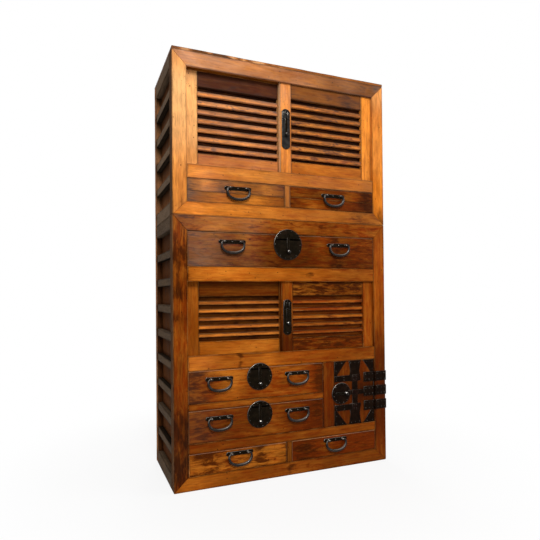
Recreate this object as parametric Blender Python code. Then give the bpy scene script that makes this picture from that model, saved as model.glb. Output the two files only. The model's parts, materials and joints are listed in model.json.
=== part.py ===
"""A choba tansu: a merchant's chest of two stacked cases.

Slatted doors slide, drawers pull out by iron bails, and a small iron-bound safe swings open.

Metres, +Z up, front towards -Y. The origin is the middle of the base.
"""

import math

import bmesh
import bpy
from mathutils import Matrix, Vector

X, Y, Z = range(3)

# Clearances and laps
GAP = 0.0003
LAP = 0.004
DRAWER_CLEARANCE = 0.0012
DRAWER_HEADROOM = 0.0015
DRAWER_BACK_ROOM = 0.008
GROOVE_CLEARANCE = 0.0006
MITRE_OVERRUN = 0.1
WELD = 1e-6
SHARP_EDGE = math.radians(35)

# Case timbers
CASE_WIDTH = 0.910
CASE_DEPTH = 0.376
STILE_WIDTH = 0.0535
STILE_DEPTH = 0.046
FRAME_DEPTH = 0.030
REAR_POST_DEPTH = 0.040
SIDE_THICKNESS = 0.030
SIDE_PANEL = 0.008
SIDE_RAIL = 0.050
SIDE_BATTEN = 0.030
SIDE_BATTEN_INSET = 0.002
UPPER_SIDE_BATTENS = 4
LOWER_SIDE_BATTENS = 8
BOARD = 0.010
BACK_BOARD = 0.010
BACK_BOARDS = 5
BACK_JOINT = 0.002
TOP_BOARD = 0.0105
BOTTOM_BOARD = 0.012
RUNNER_WIDTH = 0.022
GUIDE_HEIGHT = 0.030
DRAWER_POST = 0.022

# Heights of the lower case's rails and bays, from the floor up
LOWER_BOTTOM_RAIL = 0.051
BOTTOM_DRAWER_BAY = 0.0815
DRAWER_RAIL = 0.0355
LOCK_DRAWER_BAY = 0.120
LOCK_DRAWER_RAIL = 0.024
LOWER_SILL_RAIL = 0.053
LOWER_DOOR_BAY = 0.274
LOWER_HEAD_RAIL = 0.0545
LONG_DRAWER_BAY = 0.1305
LOWER_TOP_RAIL = 0.057

# Heights of the upper case's rails and bays
UPPER_BOTTOM_RAIL = 0.0495
UPPER_DRAWER_BAY = 0.087
UPPER_SILL_RAIL = 0.051
UPPER_DOOR_BAY = 0.357
UPPER_TOP_RAIL = 0.0535

# Slatted sliding doors and their tracks
DOOR_SETBACK = 0.010
DOOR_THICKNESS = 0.018
DOOR_SPACING = 0.003
DOOR_STILE = 0.048
DOOR_TOP_RAIL = 0.062
DOOR_BOTTOM_RAIL = 0.052
DOOR_RAIL_INSET = 0.001
DOOR_PANEL = 0.004
SLAT_INSET = 0.002
SLAT_CHAMFER = 0.002
UPPER_SLATS = 7
UPPER_SLAT = 0.020
LOWER_SLATS = 5
LOWER_SLAT = 0.014
HEAD_GROOVE = 0.008
HEAD_PLAY = 0.002
SILL_GROOVE = 0.003
TRACK_LIP = 0.006

# Drawers
DRAWER_INSET = 0.001
DRAWER_FRONT = 0.018
DRAWER_SIDE = 0.009
DRAWER_BOTTOM = 0.006
DRAWER_SIDE_DROP = 0.010

# Bail pulls
PULL_WIDTH = 0.108
PULL_HEIGHT = 0.0145
PULL_THICKNESS = 0.003
EYE_SPACING = 0.064
EYE_RADIUS = 0.0046
EYE_NOSE = 0.005
EYE_TIP = 0.0028
EYE_ROUND = 0.0015
EYE_ROOT = 0.001
BAIL_WIDTH = 0.098
BAIL_DROP = 0.048
BAIL_RADIUS = 0.0056
BAIL_SIDE_RADIUS = 0.0047
BAIL_END_RADIUS = 0.0028
BAIL_BEND = 0.0072
BAIL_SHOULDER = 0.0125
BAIL_STUB = 0.006
BAIL_SQUARENESS = 0.90
BAIL_REACH = 0.0105
BAIL_BEND_STEPS = 4
BAIL_STEPS = 14
UPPER_PULL_RISE = 0.015
LONG_PULL_RISE = 0.029
LONG_PULL_INSET = 0.1715
LOCK_PULL_RISE = 0.026
LOCK_PULL_INSET = 0.1175
BOTTOM_PULL_RISE = 0.024

# Lock plates, sliding bolts and their knobs
PLATE = 0.003
PLATE_STAND = 0.0005
PLATE_RIM = 0.001
HOUSING = 0.0025
HOUSING_MARGIN = 0.003
SEAT_MARGIN = 0.007
CHANNEL = 0.0006
BOLT_WIDTH = 0.010
BOLT_THICKNESS = 0.0018
BOLT_ENGAGE = 0.005
BOLT_TRAVEL = 0.010
KNOB_RADIUS = 0.0078
KNOB_NECK = 0.0042
KNOB_REACH = 0.0132
KNOB_NECK_REACH = 0.0038
KNOB_LOW_REACH = 0.0062
KNOB_HIGH_REACH = 0.0102
KNOB_TIP = 0.0048
LONG_LOCK_RADIUS = 0.061
LONG_LOCK_DROP = 0.040
LONG_LOCK_STEP = 0.022
LONG_LOCK_KNOB = 0.029
DRAWER_LOCK_RADIUS = 0.052
DRAWER_LOCK_DROP = 0.0365
DRAWER_LOCK_STEP = 0.032
DRAWER_LOCK_KNOB = 0.027
DOOR_LOCK_WIDTH = 0.036
DOOR_LOCK_END_RISE = 0.012
UPPER_DOOR_LOCK = 0.160
LOWER_DOOR_LOCK = 0.140
DOOR_LOCK_DROP = 0.005
DOOR_LOCK_HOUSING = 0.040
DOOR_LOCK_KNOB = 0.024

# Safe door, its iron binding and its hinges
SAFE_WIDTH = 0.198
SAFE_POST = 0.050
SAFE_DOOR = 0.022
SAFE_CLEARANCE = 0.0015
IRON = 0.002
IRON_CORNER = 0.055
IRON_CORNER_FOOT = 0.013
IRON_CORNER_GAP = 0.0117
IRON_STRAP = 0.024
IRON_MIDDLE_STRAP = 0.018
IRON_WAIST = 0.026
IRON_FLARE = 0.058
IRON_FLARE_NECK = 0.044
IRON_EDGE = 0.006
SAFE_LOCK_RADIUS = 0.044
SAFE_LOCK_INSET = 0.032
SAFE_LOCK_STEP = 0.022
SAFE_LOCK_KNOB = 0.021
HINGE_PITCH = 0.0595
HINGE_HEIGHT = 0.040
HINGE_LEAF = 0.056
HINGE_LEAF_THICKNESS = 0.0025
HINGE_BARREL = 0.0045
HINGE_PIN = 0.0018
HINGE_WRAP = 0.020

# Facets of round pieces
PLATE_SIDES = 40
KNOB_SIDES = 12
EYE_SIDES = 10
BARREL_SIDES = 12
ARC_STEPS = 6

# Finishes: colour, roughness, metallic
AMBER_WOOD = ((0.46, 0.19, 0.04), 0.42, 0.0)
RED_WOOD = ((0.24, 0.075, 0.017), 0.40, 0.0)
SHADED_WOOD = ((0.12, 0.06, 0.028), 0.60, 0.0)
BARE_WOOD = ((0.36, 0.20, 0.09), 0.70, 0.0)
DARK_IRON = ((0.018, 0.017, 0.016), 0.45, 1.0)

# Planes and spans that follow from the sizes above
FRONT = -CASE_DEPTH / 2
REAR = CASE_DEPTH / 2
HALF = CASE_WIDTH / 2
INNER = HALF - STILE_WIDTH
WALL = HALF - SIDE_THICKNESS
MITRE_GAP = GAP * math.sqrt(2)
REAR_DOOR_SETBACK = DOOR_SETBACK + DOOR_THICKNESS + DOOR_SPACING
TRACK_DEPTH = REAR_DOOR_SETBACK + DOOR_THICKNESS + GROOVE_CLEARANCE + TRACK_LIP
BETWEEN_STILES = (GAP - INNER, INNER - GAP)
BETWEEN_WALLS = (GAP - WALL, WALL - GAP)
RAIL_Y = (FRONT, FRONT + FRAME_DEPTH)
TRACK_Y = (FRONT, FRONT + TRACK_DEPTH)
BOARD_Y = (FRONT + STILE_DEPTH + GAP, REAR - BACK_BOARD - GAP)
DRAWER_FACE = FRONT + DRAWER_INSET
PLATE_BACK = FRONT - PLATE_STAND
SAFE_X = (INNER - SAFE_WIDTH, INNER)
LOCK_BAY_X = (-INNER, SAFE_X[0] - SAFE_POST)
DOOR_WIDTH = INNER + DOOR_STILE / 2 - GAP
LEFT_DOOR_X = (GAP - INNER, GAP - INNER + DOOR_WIDTH)
RIGHT_DOOR_X = (INNER - GAP - DOOR_WIDTH, INNER - GAP)

# Levels of the bays, each as (bottom, top)
BOTTOM_DRAWER_Z = (LOWER_BOTTOM_RAIL, LOWER_BOTTOM_RAIL + BOTTOM_DRAWER_BAY)
SHELF_LEVEL = BOTTOM_DRAWER_Z[1] + DRAWER_RAIL
LOCK_DRAWER_2_Z = (SHELF_LEVEL, SHELF_LEVEL + LOCK_DRAWER_BAY)
MIDDLE_LEVEL = LOCK_DRAWER_2_Z[1] + LOCK_DRAWER_RAIL
LOCK_DRAWER_1_Z = (MIDDLE_LEVEL, MIDDLE_LEVEL + LOCK_DRAWER_BAY)
SAFE_Z = (SHELF_LEVEL, LOCK_DRAWER_1_Z[1])
LOWER_SILL_LEVEL = LOCK_DRAWER_1_Z[1] + LOWER_SILL_RAIL
LOWER_DOOR_Z = (LOWER_SILL_LEVEL, LOWER_SILL_LEVEL + LOWER_DOOR_BAY)
LONG_LEVEL = LOWER_DOOR_Z[1] + LOWER_HEAD_RAIL
LONG_DRAWER_Z = (LONG_LEVEL, LONG_LEVEL + LONG_DRAWER_BAY)
LOWER_TOP = LONG_DRAWER_Z[1] + LOWER_TOP_RAIL
UPPER_BASE = LOWER_TOP + GAP
UPPER_FLOOR = UPPER_BASE + UPPER_BOTTOM_RAIL
UPPER_DRAWER_Z = (UPPER_FLOOR, UPPER_FLOOR + UPPER_DRAWER_BAY)
UPPER_SILL_LEVEL = UPPER_DRAWER_Z[1] + UPPER_SILL_RAIL
UPPER_DOOR_Z = (UPPER_SILL_LEVEL, UPPER_SILL_LEVEL + UPPER_DOOR_BAY)
UPPER_TOP = UPPER_DOOR_Z[1] + UPPER_TOP_RAIL


def shape_from(bm):
    """A working object that holds a finished bmesh."""
    bmesh.ops.recalc_face_normals(bm, faces=bm.faces)
    mesh = bpy.data.meshes.new("shape")
    bm.to_mesh(mesh)
    bm.free()
    shape = bpy.data.objects.new("shape", mesh)
    bpy.context.scene.collection.objects.link(shape)
    return shape


def block(x, y, z):
    """A box between a low and a high value on each axis."""
    bm = bmesh.new()
    bmesh.ops.create_cube(bm, size=1.0)
    for vertex in bm.verts:
        for axis, (low, high) in enumerate((x, y, z)):
            vertex.co[axis] = high if vertex.co[axis] > 0 else low
    return shape_from(bm)


def prism(outline, axis, span):
    """An outline in the two other axes, in X, Y, Z order, stretched along an axis."""
    plane = [other for other in (X, Y, Z) if other != axis]
    bm = bmesh.new()
    corners = []
    for first, second in outline:
        corner = bm.verts.new((0.0, 0.0, 0.0))
        corner.co[plane[0]] = first
        corner.co[plane[1]] = second
        corner.co[axis] = span[0]
        corners.append(corner)
    face = bm.faces.new(corners)
    grown = bmesh.ops.extrude_face_region(bm, geom=[face])["geom"]
    push = Vector((0.0, 0.0, 0.0))
    push[axis] = span[1] - span[0]
    moved = [item for item in grown if isinstance(item, bmesh.types.BMVert)]
    bmesh.ops.translate(bm, vec=push, verts=moved)
    return shape_from(bm)


def circle(centre, radius, sides):
    """Points round a circle, for a prism."""
    turns = [2 * math.pi * (index + 0.5) / sides for index in range(sides)]
    return [(centre[0] + radius * math.cos(turn), centre[1] + radius * math.sin(turn)) for turn in turns]


def arc(radius, start, stop, steps):
    """Points along an arc about (0, 0), ends included."""
    turns = [start + (stop - start) * index / steps for index in range(steps + 1)]
    return [(radius * math.cos(turn), radius * math.sin(turn)) for turn in turns]


def turned(profile, centre, sides):
    """A round piece about an axis along Y, spun from (radius, reach towards the front) points.

    It starts half a facet round, so that no edge lies on the middle lines of other shapes.
    """
    start = math.pi / sides
    bm = bmesh.new()
    points = []
    for radius, reach in profile:
        across_x = radius * math.cos(start)
        across_z = radius * math.sin(start)
        points.append(bm.verts.new((centre[X] + across_x, centre[Y] - reach, centre[Z] + across_z)))
    edges = [bm.edges.new(pair) for pair in zip(points, points[1:])]
    bmesh.ops.spin(
        bm,
        geom=points + edges,
        cent=centre,
        axis=(0.0, 1.0, 0.0),
        angle=2 * math.pi,
        steps=sides,
        use_merge=True,
    )
    bmesh.ops.remove_doubles(bm, verts=bm.verts, dist=WELD)
    return shape_from(bm)


def fuse(name, shapes, cuts=()):
    """One named solid from overlapping shapes, less the cuts."""
    base = shapes[0]
    for operation, operands in (("UNION", shapes[1:]), ("DIFFERENCE", cuts)):
        if operands:
            group = bpy.data.collections.new(operation)
            for operand in operands:
                group.objects.link(operand)
            modifier = base.modifiers.new(operation, "BOOLEAN")
            modifier.operation = operation
            modifier.operand_type = "COLLECTION"
            modifier.collection = group
            modifier.solver = "EXACT"
    graph = bpy.context.evaluated_depsgraph_get()
    mesh = bpy.data.meshes.new_from_object(base.evaluated_get(graph))
    mesh.name = name
    part = bpy.data.objects.new(name, mesh)
    bpy.context.scene.collection.objects.link(part)
    for used in (*shapes, *cuts):
        bpy.data.objects.remove(used)
    for group in list(bpy.data.collections):
        bpy.data.collections.remove(group)
    return part


def dress(part, finish):
    """Gives a part a material of its own."""
    colour, roughness, metallic = finish
    material = bpy.data.materials.new(part.name)
    material.use_nodes = True
    shader = material.node_tree.nodes["Principled BSDF"]
    shader.inputs["Base Color"].default_value = (*colour, 1.0)
    shader.inputs["Roughness"].default_value = roughness
    shader.inputs["Metallic"].default_value = metallic
    part.data.materials.append(material)


def seat(part, finish, pivot=(0.0, 0.0, 0.0), carrier=None):
    """Finishes a part, moves its origin to its pivot and hangs it on what carries it."""
    dress(part, finish)
    part.data.transform(Matrix.Translation(-Vector(pivot)))
    part.data.shade_smooth()
    part.data.set_sharp_from_angle(angle=SHARP_EDGE)
    part.location = pivot
    hang(part, carrier)
    return part


def hang(part, carrier):
    """Parents a part to its carrier and leaves it where it is."""
    if carrier:
        part.parent = carrier
        part.matrix_parent_inverse = Matrix.Translation(-carrier.location)


def across(hand, near, far):
    """The X span between two depths inside the case's outer face, on the left (-1) or right (1)."""
    return tuple(sorted((hand * (HALF - near), hand * (HALF - far))))


# Case


def rail_outline(outer, inner):
    """A front rail's outline in X and Z, mitred from its outer to its inner edge."""
    edge = HALF - MITRE_GAP
    return [(-edge, outer), (edge, outer), (edge - STILE_WIDTH, inner), (STILE_WIDTH - edge, inner)]


def mitre_cut(hand, outer, inner):
    """What a mitred rail takes out of a stile's end."""
    run = MITRE_OVERRUN * STILE_WIDTH
    rise = MITRE_OVERRUN * (outer - inner)
    tip = (hand * (HALF + run), outer + rise)
    heel = (hand * (INNER - run), inner - rise)
    return prism([tip, heel, (heel[0], tip[1])], Y, (FRONT - LAP, FRONT + FRAME_DEPTH + GAP))


def case_side(name, hand, z, battens, bottom_rail, top_rail):
    """A stile and a rear post with side rails, battens and a thin panel between them."""
    bottom, top = z
    middle_y = (FRONT + STILE_DEPTH - LAP, REAR - REAR_POST_DEPTH + LAP)
    thickness = across(hand, 0.0, SIDE_THICKNESS)
    shapes = [
        block(across(hand, 0.0, STILE_WIDTH), (FRONT, FRONT + STILE_DEPTH), z),
        block(thickness, (REAR - REAR_POST_DEPTH, REAR), z),
        block(across(hand, SIDE_THICKNESS - SIDE_PANEL, SIDE_THICKNESS), middle_y, z),
        block(thickness, middle_y, (bottom, bottom + SIDE_RAIL)),
        block(thickness, middle_y, (top - SIDE_RAIL, top)),
    ]
    open_height = top - bottom - 2 * SIDE_RAIL
    space = (open_height - battens * SIDE_BATTEN) / (battens + 1)
    batten_x = across(hand, SIDE_BATTEN_INSET, SIDE_THICKNESS - SIDE_PANEL / 2)
    for index in range(battens):
        low = bottom + SIDE_RAIL + space + index * (space + SIDE_BATTEN)
        shapes.append(block(batten_x, middle_y, (low, low + SIDE_BATTEN)))
    cuts = [mitre_cut(hand, bottom, bottom + bottom_rail), mitre_cut(hand, top, top - top_rail)]
    return seat(fuse(name, shapes, cuts), SHADED_WOOD)


def shelf(top, left=None, right=None):
    """A dust board at a level: between the stiles in front, out to the side walls behind them."""
    front_x = (left or BETWEEN_STILES[0], right or BETWEEN_STILES[1])
    rear_x = (left or BETWEEN_WALLS[0], right or BETWEEN_WALLS[1])
    return [
        block(front_x, (FRONT + LAP, BOARD_Y[0] + LAP), (top - BOARD, top)),
        block(rear_x, BOARD_Y, (top - BOARD, top)),
    ]


def drawer_guide(hand, level):
    """A strip on a dust board that fills from the side wall to the line of the stile."""
    x = tuple(sorted((hand * INNER, hand * BETWEEN_WALLS[1])))
    return block(x, BOARD_Y, (level - LAP, level + GUIDE_HEIGHT))


def door_grooves(low, high):
    """The two grooves that a pair of sliding doors runs in."""
    grooves = []
    for setback in (DOOR_SETBACK, REAR_DOOR_SETBACK):
        y = (FRONT + setback - GROOVE_CLEARANCE, FRONT + setback + DOOR_THICKNESS + GROOVE_CLEARANCE)
        grooves.append(block((-INNER, INNER), y, (low, high)))
    return grooves


def head_grooves(level):
    return door_grooves(level - LAP, level + HEAD_GROOVE)


def sill_grooves(level):
    return door_grooves(level - SILL_GROOVE, level + LAP)


def back_board(name, z):
    """Upright boards side by side, with a V joint between each two on the rear face."""
    left, right = BETWEEN_WALLS
    inside = REAR - BACK_BOARD
    outline = [(left, REAR), (left, inside), (right, inside), (right, REAR)]
    for index in range(BACK_BOARDS - 1, 0, -1):
        seam = left + (right - left) * index / BACK_BOARDS
        outline += [(seam + BACK_JOINT, REAR), (seam, REAR - BACK_JOINT), (seam - BACK_JOINT, REAR)]
    return seat(fuse(name, [prism(outline, Z, z)]), BARE_WOOD)


def upper_case():
    z = (UPPER_BASE, UPPER_TOP - GAP)
    for name, hand in (("upper_left_side", -1), ("upper_right_side", 1)):
        case_side(name, hand, z, UPPER_SIDE_BATTENS, UPPER_BOTTOM_RAIL, UPPER_TOP_RAIL - GAP)
    back_board("upper_back", z)

    rail = rail_outline(UPPER_TOP, UPPER_DOOR_Z[1])
    tongue = [(x, UPPER_TOP + TOP_BOARD / 2) for x, _ in rail[:2]]
    track = (UPPER_DOOR_Z[1], UPPER_TOP + TOP_BOARD / 2)
    top = [
        prism([*tongue, *rail[1:], rail[0]], Y, RAIL_Y),
        block(BETWEEN_STILES, (FRONT + LAP, FRONT + TRACK_DEPTH), track),
        block((-HALF, HALF), (FRONT, REAR), (UPPER_TOP, UPPER_TOP + TOP_BOARD)),
    ]
    seat(fuse("upper_top_frame", top, head_grooves(UPPER_DOOR_Z[1])), AMBER_WOOD)

    low, high = UPPER_DRAWER_Z
    post = (-DRAWER_POST / 2, DRAWER_POST / 2)
    frame = [
        block(BETWEEN_STILES, TRACK_Y, (high, UPPER_SILL_LEVEL)),
        *shelf(UPPER_SILL_LEVEL),
        block(post, (FRONT, BOARD_Y[1]), (low - LAP, high + LAP)),
        block(post, BOARD_Y, (high, UPPER_SILL_LEVEL - BOARD / 2)),
        prism(rail_outline(UPPER_BASE, UPPER_FLOOR), Y, RAIL_Y),
        *shelf(UPPER_FLOOR),
        drawer_guide(-1, UPPER_FLOOR),
        drawer_guide(1, UPPER_FLOOR),
    ]
    seat(fuse("upper_drawer_frame", frame, sill_grooves(UPPER_SILL_LEVEL)), AMBER_WOOD)


def lower_case():
    z = (0.0, LOWER_TOP)
    for name, hand in (("lower_left_side", -1), ("lower_right_side", 1)):
        case_side(name, hand, z, LOWER_SIDE_BATTENS, LOWER_BOTTOM_RAIL, LOWER_TOP_RAIL)
    back_board("lower_back", z)

    top = [prism(rail_outline(LOWER_TOP, LONG_DRAWER_Z[1]), Y, RAIL_Y), *shelf(LOWER_TOP)]
    seat(fuse("lower_top_frame", top), AMBER_WOOD)

    head = [
        block(BETWEEN_STILES, TRACK_Y, (LOWER_DOOR_Z[1], LONG_LEVEL)),
        *shelf(LONG_LEVEL),
        drawer_guide(-1, LONG_LEVEL),
        drawer_guide(1, LONG_LEVEL),
    ]
    seat(fuse("lower_head_shelf", head, head_grooves(LOWER_DOOR_Z[1])), AMBER_WOOD)

    sill = [block(BETWEEN_STILES, TRACK_Y, (SAFE_Z[1], LOWER_SILL_LEVEL)), *shelf(LOWER_SILL_LEVEL)]
    seat(fuse("lower_sill_shelf", sill, sill_grooves(LOWER_SILL_LEVEL)), AMBER_WOOD)

    lower_drawer_frame()
    lower_bottom_frame()


def lower_drawer_frame():
    """The rails and shelves of the small drawers, with the safe's post and partition."""
    bay_right = LOCK_BAY_X[1]
    post_top = SAFE_Z[1] - GAP
    partition = (bay_right, bay_right + BOARD)
    behind_sill = (FRONT + TRACK_DEPTH + GAP, BOARD_Y[1])
    middle_post = (-DRAWER_POST / 2, DRAWER_POST / 2)
    shapes = [
        block(BETWEEN_STILES, RAIL_Y, (BOTTOM_DRAWER_Z[1], SHELF_LEVEL)),
        *shelf(SHELF_LEVEL),
        drawer_guide(-1, SHELF_LEVEL),
        block((bay_right, SAFE_X[0]), RAIL_Y, (SHELF_LEVEL - LAP, post_top)),
        block(partition, (FRONT + LAP, BOARD_Y[1]), (SHELF_LEVEL - LAP, post_top)),
        block(partition, behind_sill, (SHELF_LEVEL - LAP, LOWER_SILL_LEVEL - BOARD - GAP)),
        block((BETWEEN_STILES[0], bay_right + LAP), RAIL_Y, (LOCK_DRAWER_2_Z[1], MIDDLE_LEVEL)),
        *shelf(MIDDLE_LEVEL, right=bay_right + LAP),
        drawer_guide(-1, MIDDLE_LEVEL),
        block(middle_post, (FRONT, BOARD_Y[1]), (LOWER_BOTTOM_RAIL + GAP, BOTTOM_DRAWER_Z[1] + LAP)),
        block(middle_post, BOARD_Y, (BOTTOM_DRAWER_Z[1], SHELF_LEVEL - BOARD / 2)),
    ]
    seat(fuse("lower_drawer_frame", shapes), AMBER_WOOD)


def lower_bottom_frame():
    """The bottom rail, the bottom board and the runners and guides of the bottom drawers."""
    runner_z = (BOTTOM_BOARD - LAP, LOWER_BOTTOM_RAIL)
    front_of_board = (FRONT + LAP, BOARD_Y[0] + LAP)
    shapes = [
        prism(rail_outline(0.0, LOWER_BOTTOM_RAIL), Y, RAIL_Y),
        block(BETWEEN_STILES, front_of_board, (0.0, BOTTOM_BOARD)),
        block(BETWEEN_WALLS, BOARD_Y, (0.0, BOTTOM_BOARD)),
        block((-RUNNER_WIDTH, RUNNER_WIDTH), (FRONT + LAP, BOARD_Y[1]), runner_z),
    ]
    for hand in (-1, 1):
        x = tuple(sorted((hand * (INNER - RUNNER_WIDTH), hand * BETWEEN_WALLS[1])))
        shapes.append(block(x, BOARD_Y, runner_z))
        shapes.append(drawer_guide(hand, LOWER_BOTTOM_RAIL))
    seat(fuse("lower_bottom_frame", shapes), AMBER_WOOD)


# Bail pulls


def bail_path():
    """Centreline of a bail in X and Z about its pivot, with the wire's radius at each point."""
    half = BAIL_WIDTH / 2 - BAIL_SIDE_RADIUS
    depth = BAIL_DROP - BAIL_RADIUS - BAIL_SHOULDER
    stub = EYE_SPACING / 2 - BAIL_STUB
    corner = (half - BAIL_BEND, -BAIL_SHOULDER)
    points = [(stub, 0.0, BAIL_END_RADIUS)]
    for index in range(BAIL_BEND_STEPS + 1):
        share = index / BAIL_BEND_STEPS
        turn = math.pi / 2 * (1 - share)
        x = corner[0] + BAIL_BEND * math.cos(turn)
        z = corner[1] + BAIL_SHOULDER * math.sin(turn)
        points.append((x, z, BAIL_END_RADIUS + (BAIL_SIDE_RADIUS - BAIL_END_RADIUS) * share))
    right = list(points)
    for index in range(1, BAIL_STEPS):
        turn = math.pi * index / BAIL_STEPS
        x = half * math.copysign(abs(math.cos(turn)) ** BAIL_SQUARENESS, math.cos(turn))
        z = -BAIL_SHOULDER - depth * math.sin(turn) ** BAIL_SQUARENESS
        points.append((x, z, BAIL_SIDE_RADIUS + (BAIL_RADIUS - BAIL_SIDE_RADIUS) * math.sin(turn)))
    return points + [(-x, z, radius) for x, z, radius in reversed(right)]


def bail(name, pivot, carrier):
    """A round bail whose inturned ends sit in the eyes of its plate."""
    path = bail_path()
    curve = bpy.data.curves.new(name, "CURVE")
    curve.dimensions = "3D"
    curve.bevel_depth = 1.0
    curve.bevel_resolution = 2
    curve.use_fill_caps = True
    spline = curve.splines.new("POLY")
    spline.points.add(len(path) - 1)
    for point, (x, z, radius) in zip(spline.points, path):
        point.co = (x, 0.0, z, 1.0)
        point.radius = radius
    part = bpy.data.objects.new(name, curve)
    bpy.context.scene.collection.objects.link(part)
    dress(part, DARK_IRON)
    part.location = pivot
    hang(part, carrier)


def round_ended_bar(centre, width, height):
    """A level bar's outline in X and Z with half-round ends."""
    x, z = centre
    reach = (width - height) / 2
    end = arc(height / 2, -math.pi / 2, math.pi / 2, ARC_STEPS)
    return [(x + side * (reach + u), z + side * v) for side in (1, -1) for u, v in end]


def pull_plate(name, pivot, carrier):
    """A back bar with two eye posts."""
    x, y, z = pivot
    back = DRAWER_FACE - GAP
    reach = back - y + EYE_NOSE
    bar = round_ended_bar((x, z), PULL_WIDTH, PULL_HEIGHT)
    shapes = [prism(bar, Y, (back - PULL_THICKNESS, back))]
    cuts = []
    profile = [
        (0.0, EYE_ROOT),
        (EYE_RADIUS, EYE_ROOT),
        (EYE_RADIUS, reach - EYE_ROUND),
        (EYE_TIP, reach),
        (0.0, reach),
    ]
    hole = (BAIL_END_RADIUS + GAP) / math.cos(math.pi / EYE_SIDES)
    for eye in (x - EYE_SPACING / 2, x + EYE_SPACING / 2):
        shapes.append(turned(profile, (eye, back, z), EYE_SIDES))
        cuts.append(prism(circle((y, z), hole, EYE_SIDES), X, (eye - 2 * EYE_RADIUS, eye + 2 * EYE_RADIUS)))
    seat(fuse(name, shapes, cuts), DARK_IRON, pivot, carrier)


def bail_pull(name, x, z, carrier):
    pivot = (x, DRAWER_FACE - BAIL_REACH, z)
    pull_plate(f"{name}_plate", pivot, carrier)
    bail(f"{name}_bail", pivot, carrier)


# Locks


class LockFace:
    """A lock's own axes on the front: u along its bolt's throw, v across it, from its centre."""

    def __init__(self, centre, throw):
        self.centre = centre
        self.throw = throw

    def point(self, u, v):
        along_x, along_z = self.throw
        return (self.centre[0] + along_x * u - along_z * v, self.centre[1] + along_z * u + along_x * v)

    def strip(self, u, half_width, y):
        corners = ((u[0], -half_width), (u[1], -half_width), (u[1], half_width), (u[0], half_width))
        return prism([self.point(*corner) for corner in corners], Y, y)

    def segment(self, radius, chord, y):
        """The part of a disc past a chord; a chord below zero keeps more than half of it."""
        half_angle = math.acos(max(-1.0, min(1.0, chord / radius)))
        points = arc(radius, -half_angle, half_angle, 3 * ARC_STEPS)
        return prism([self.point(*point) for point in points], Y, y)


def bolt_channel(face, step, knob, plate_front):
    """The shallow channel that a bolt slides in, which also opens the housing."""
    u = (-knob - BOLT_WIDTH, step + BOLT_ENGAGE + BOLT_TRAVEL + GAP)
    return face.strip(u, BOLT_WIDTH / 2 + GAP, (plate_front - HOUSING - LAP, plate_front + CHANNEL))


def sliding_bolt(name, face, step, knob, plate_front, carrier):
    """A flat bolt with a turned knob at its near end."""
    x, z = face.point(-knob, 0.0)
    bar_y = (plate_front - BOLT_THICKNESS, plate_front + CHANNEL - GAP)
    shapes = [
        face.strip((-knob - BOLT_WIDTH / 2, step + BOLT_ENGAGE), BOLT_WIDTH / 2, bar_y),
        turned(
            [
                (0.0, -BOLT_THICKNESS / 2),
                (KNOB_NECK, -BOLT_THICKNESS / 2),
                (KNOB_NECK, KNOB_NECK_REACH),
                (KNOB_RADIUS, KNOB_LOW_REACH),
                (KNOB_RADIUS, KNOB_HIGH_REACH),
                (KNOB_TIP, KNOB_REACH),
                (0.0, KNOB_REACH),
            ],
            (x, bar_y[0], z),
            KNOB_SIDES,
        ),
    ]
    seat(fuse(name, shapes), DARK_IRON, (x, bar_y[0], z), carrier)


def round_lock_shapes(face, radius, step):
    """A round plate with a raised housing past its step."""
    x, z = face.centre
    front = PLATE_BACK - PLATE
    rim = [
        (0.0, 0.0),
        (radius, 0.0),
        (radius, PLATE - PLATE_RIM),
        (radius - PLATE_RIM, PLATE),
        (0.0, PLATE),
    ]
    return [
        turned(rim, (x, PLATE_BACK, z), PLATE_SIDES),
        face.segment(radius - HOUSING_MARGIN, step, (front - HOUSING, front + PLATE / 2)),
    ]


def drawer_lock(name, centre, radius, drop, step, knob, carrier):
    """A round lock seated on a drawer front, whose plate laps the rail above."""
    face = LockFace(centre, (0.0, 1.0))
    front = PLATE_BACK - PLATE
    shapes = round_lock_shapes(face, radius, step)
    seat_face = LockFace(centre, (0.0, -1.0))
    seat_y = (PLATE_BACK - PLATE / 2, DRAWER_FACE - GAP)
    shapes.append(seat_face.segment(radius - SEAT_MARGIN, 2 * DRAWER_HEADROOM - drop, seat_y))
    plate = fuse(f"{name}_plate", shapes, [bolt_channel(face, step, knob, front)])
    seat(plate, DARK_IRON, (centre[0], PLATE_BACK, centre[1]), carrier)
    sliding_bolt(f"{name}_bolt", face, step, knob, front, carrier)


def oblong(face, length, y):
    """An upright plate with arched ends."""
    half = DOOR_LOCK_WIDTH / 2
    radius = (half**2 + DOOR_LOCK_END_RISE**2) / (2 * DOOR_LOCK_END_RISE)
    spread = math.asin(half / radius)
    points = []
    for end in (1, -1):
        for u, v in arc(radius, -spread, spread, ARC_STEPS):
            points.append(face.point(end * (u - radius + length / 2), end * v))
    return prism(points, Y, y)


def door_lock(name, length, door_x, door_z, carrier):
    """An oblong lock on the meeting stile of a sliding door."""
    centre = (door_x[0] + DOOR_STILE / 2, sum(door_z) / 2 - DOOR_LOCK_DROP)
    face = LockFace(centre, (0.0, 1.0))
    back = FRONT + DOOR_SETBACK - GAP
    front = back - PLATE
    step = length / 2 - DOOR_LOCK_HOUSING
    housing_x = DOOR_LOCK_WIDTH / 2 - HOUSING_MARGIN
    housing_u = (step, length / 2 - DOOR_LOCK_END_RISE)
    housing = face.strip(housing_u, housing_x, (front - HOUSING, front + PLATE / 2))
    shapes = [oblong(face, length, (front, back)), housing]
    plate = fuse(f"{name}_plate", shapes, [bolt_channel(face, step, DOOR_LOCK_KNOB, front)])
    seat(plate, DARK_IRON, (centre[0], back, centre[1]), carrier)
    sliding_bolt(f"{name}_bolt", face, step, DOOR_LOCK_KNOB, front, carrier)


# Drawers


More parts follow.
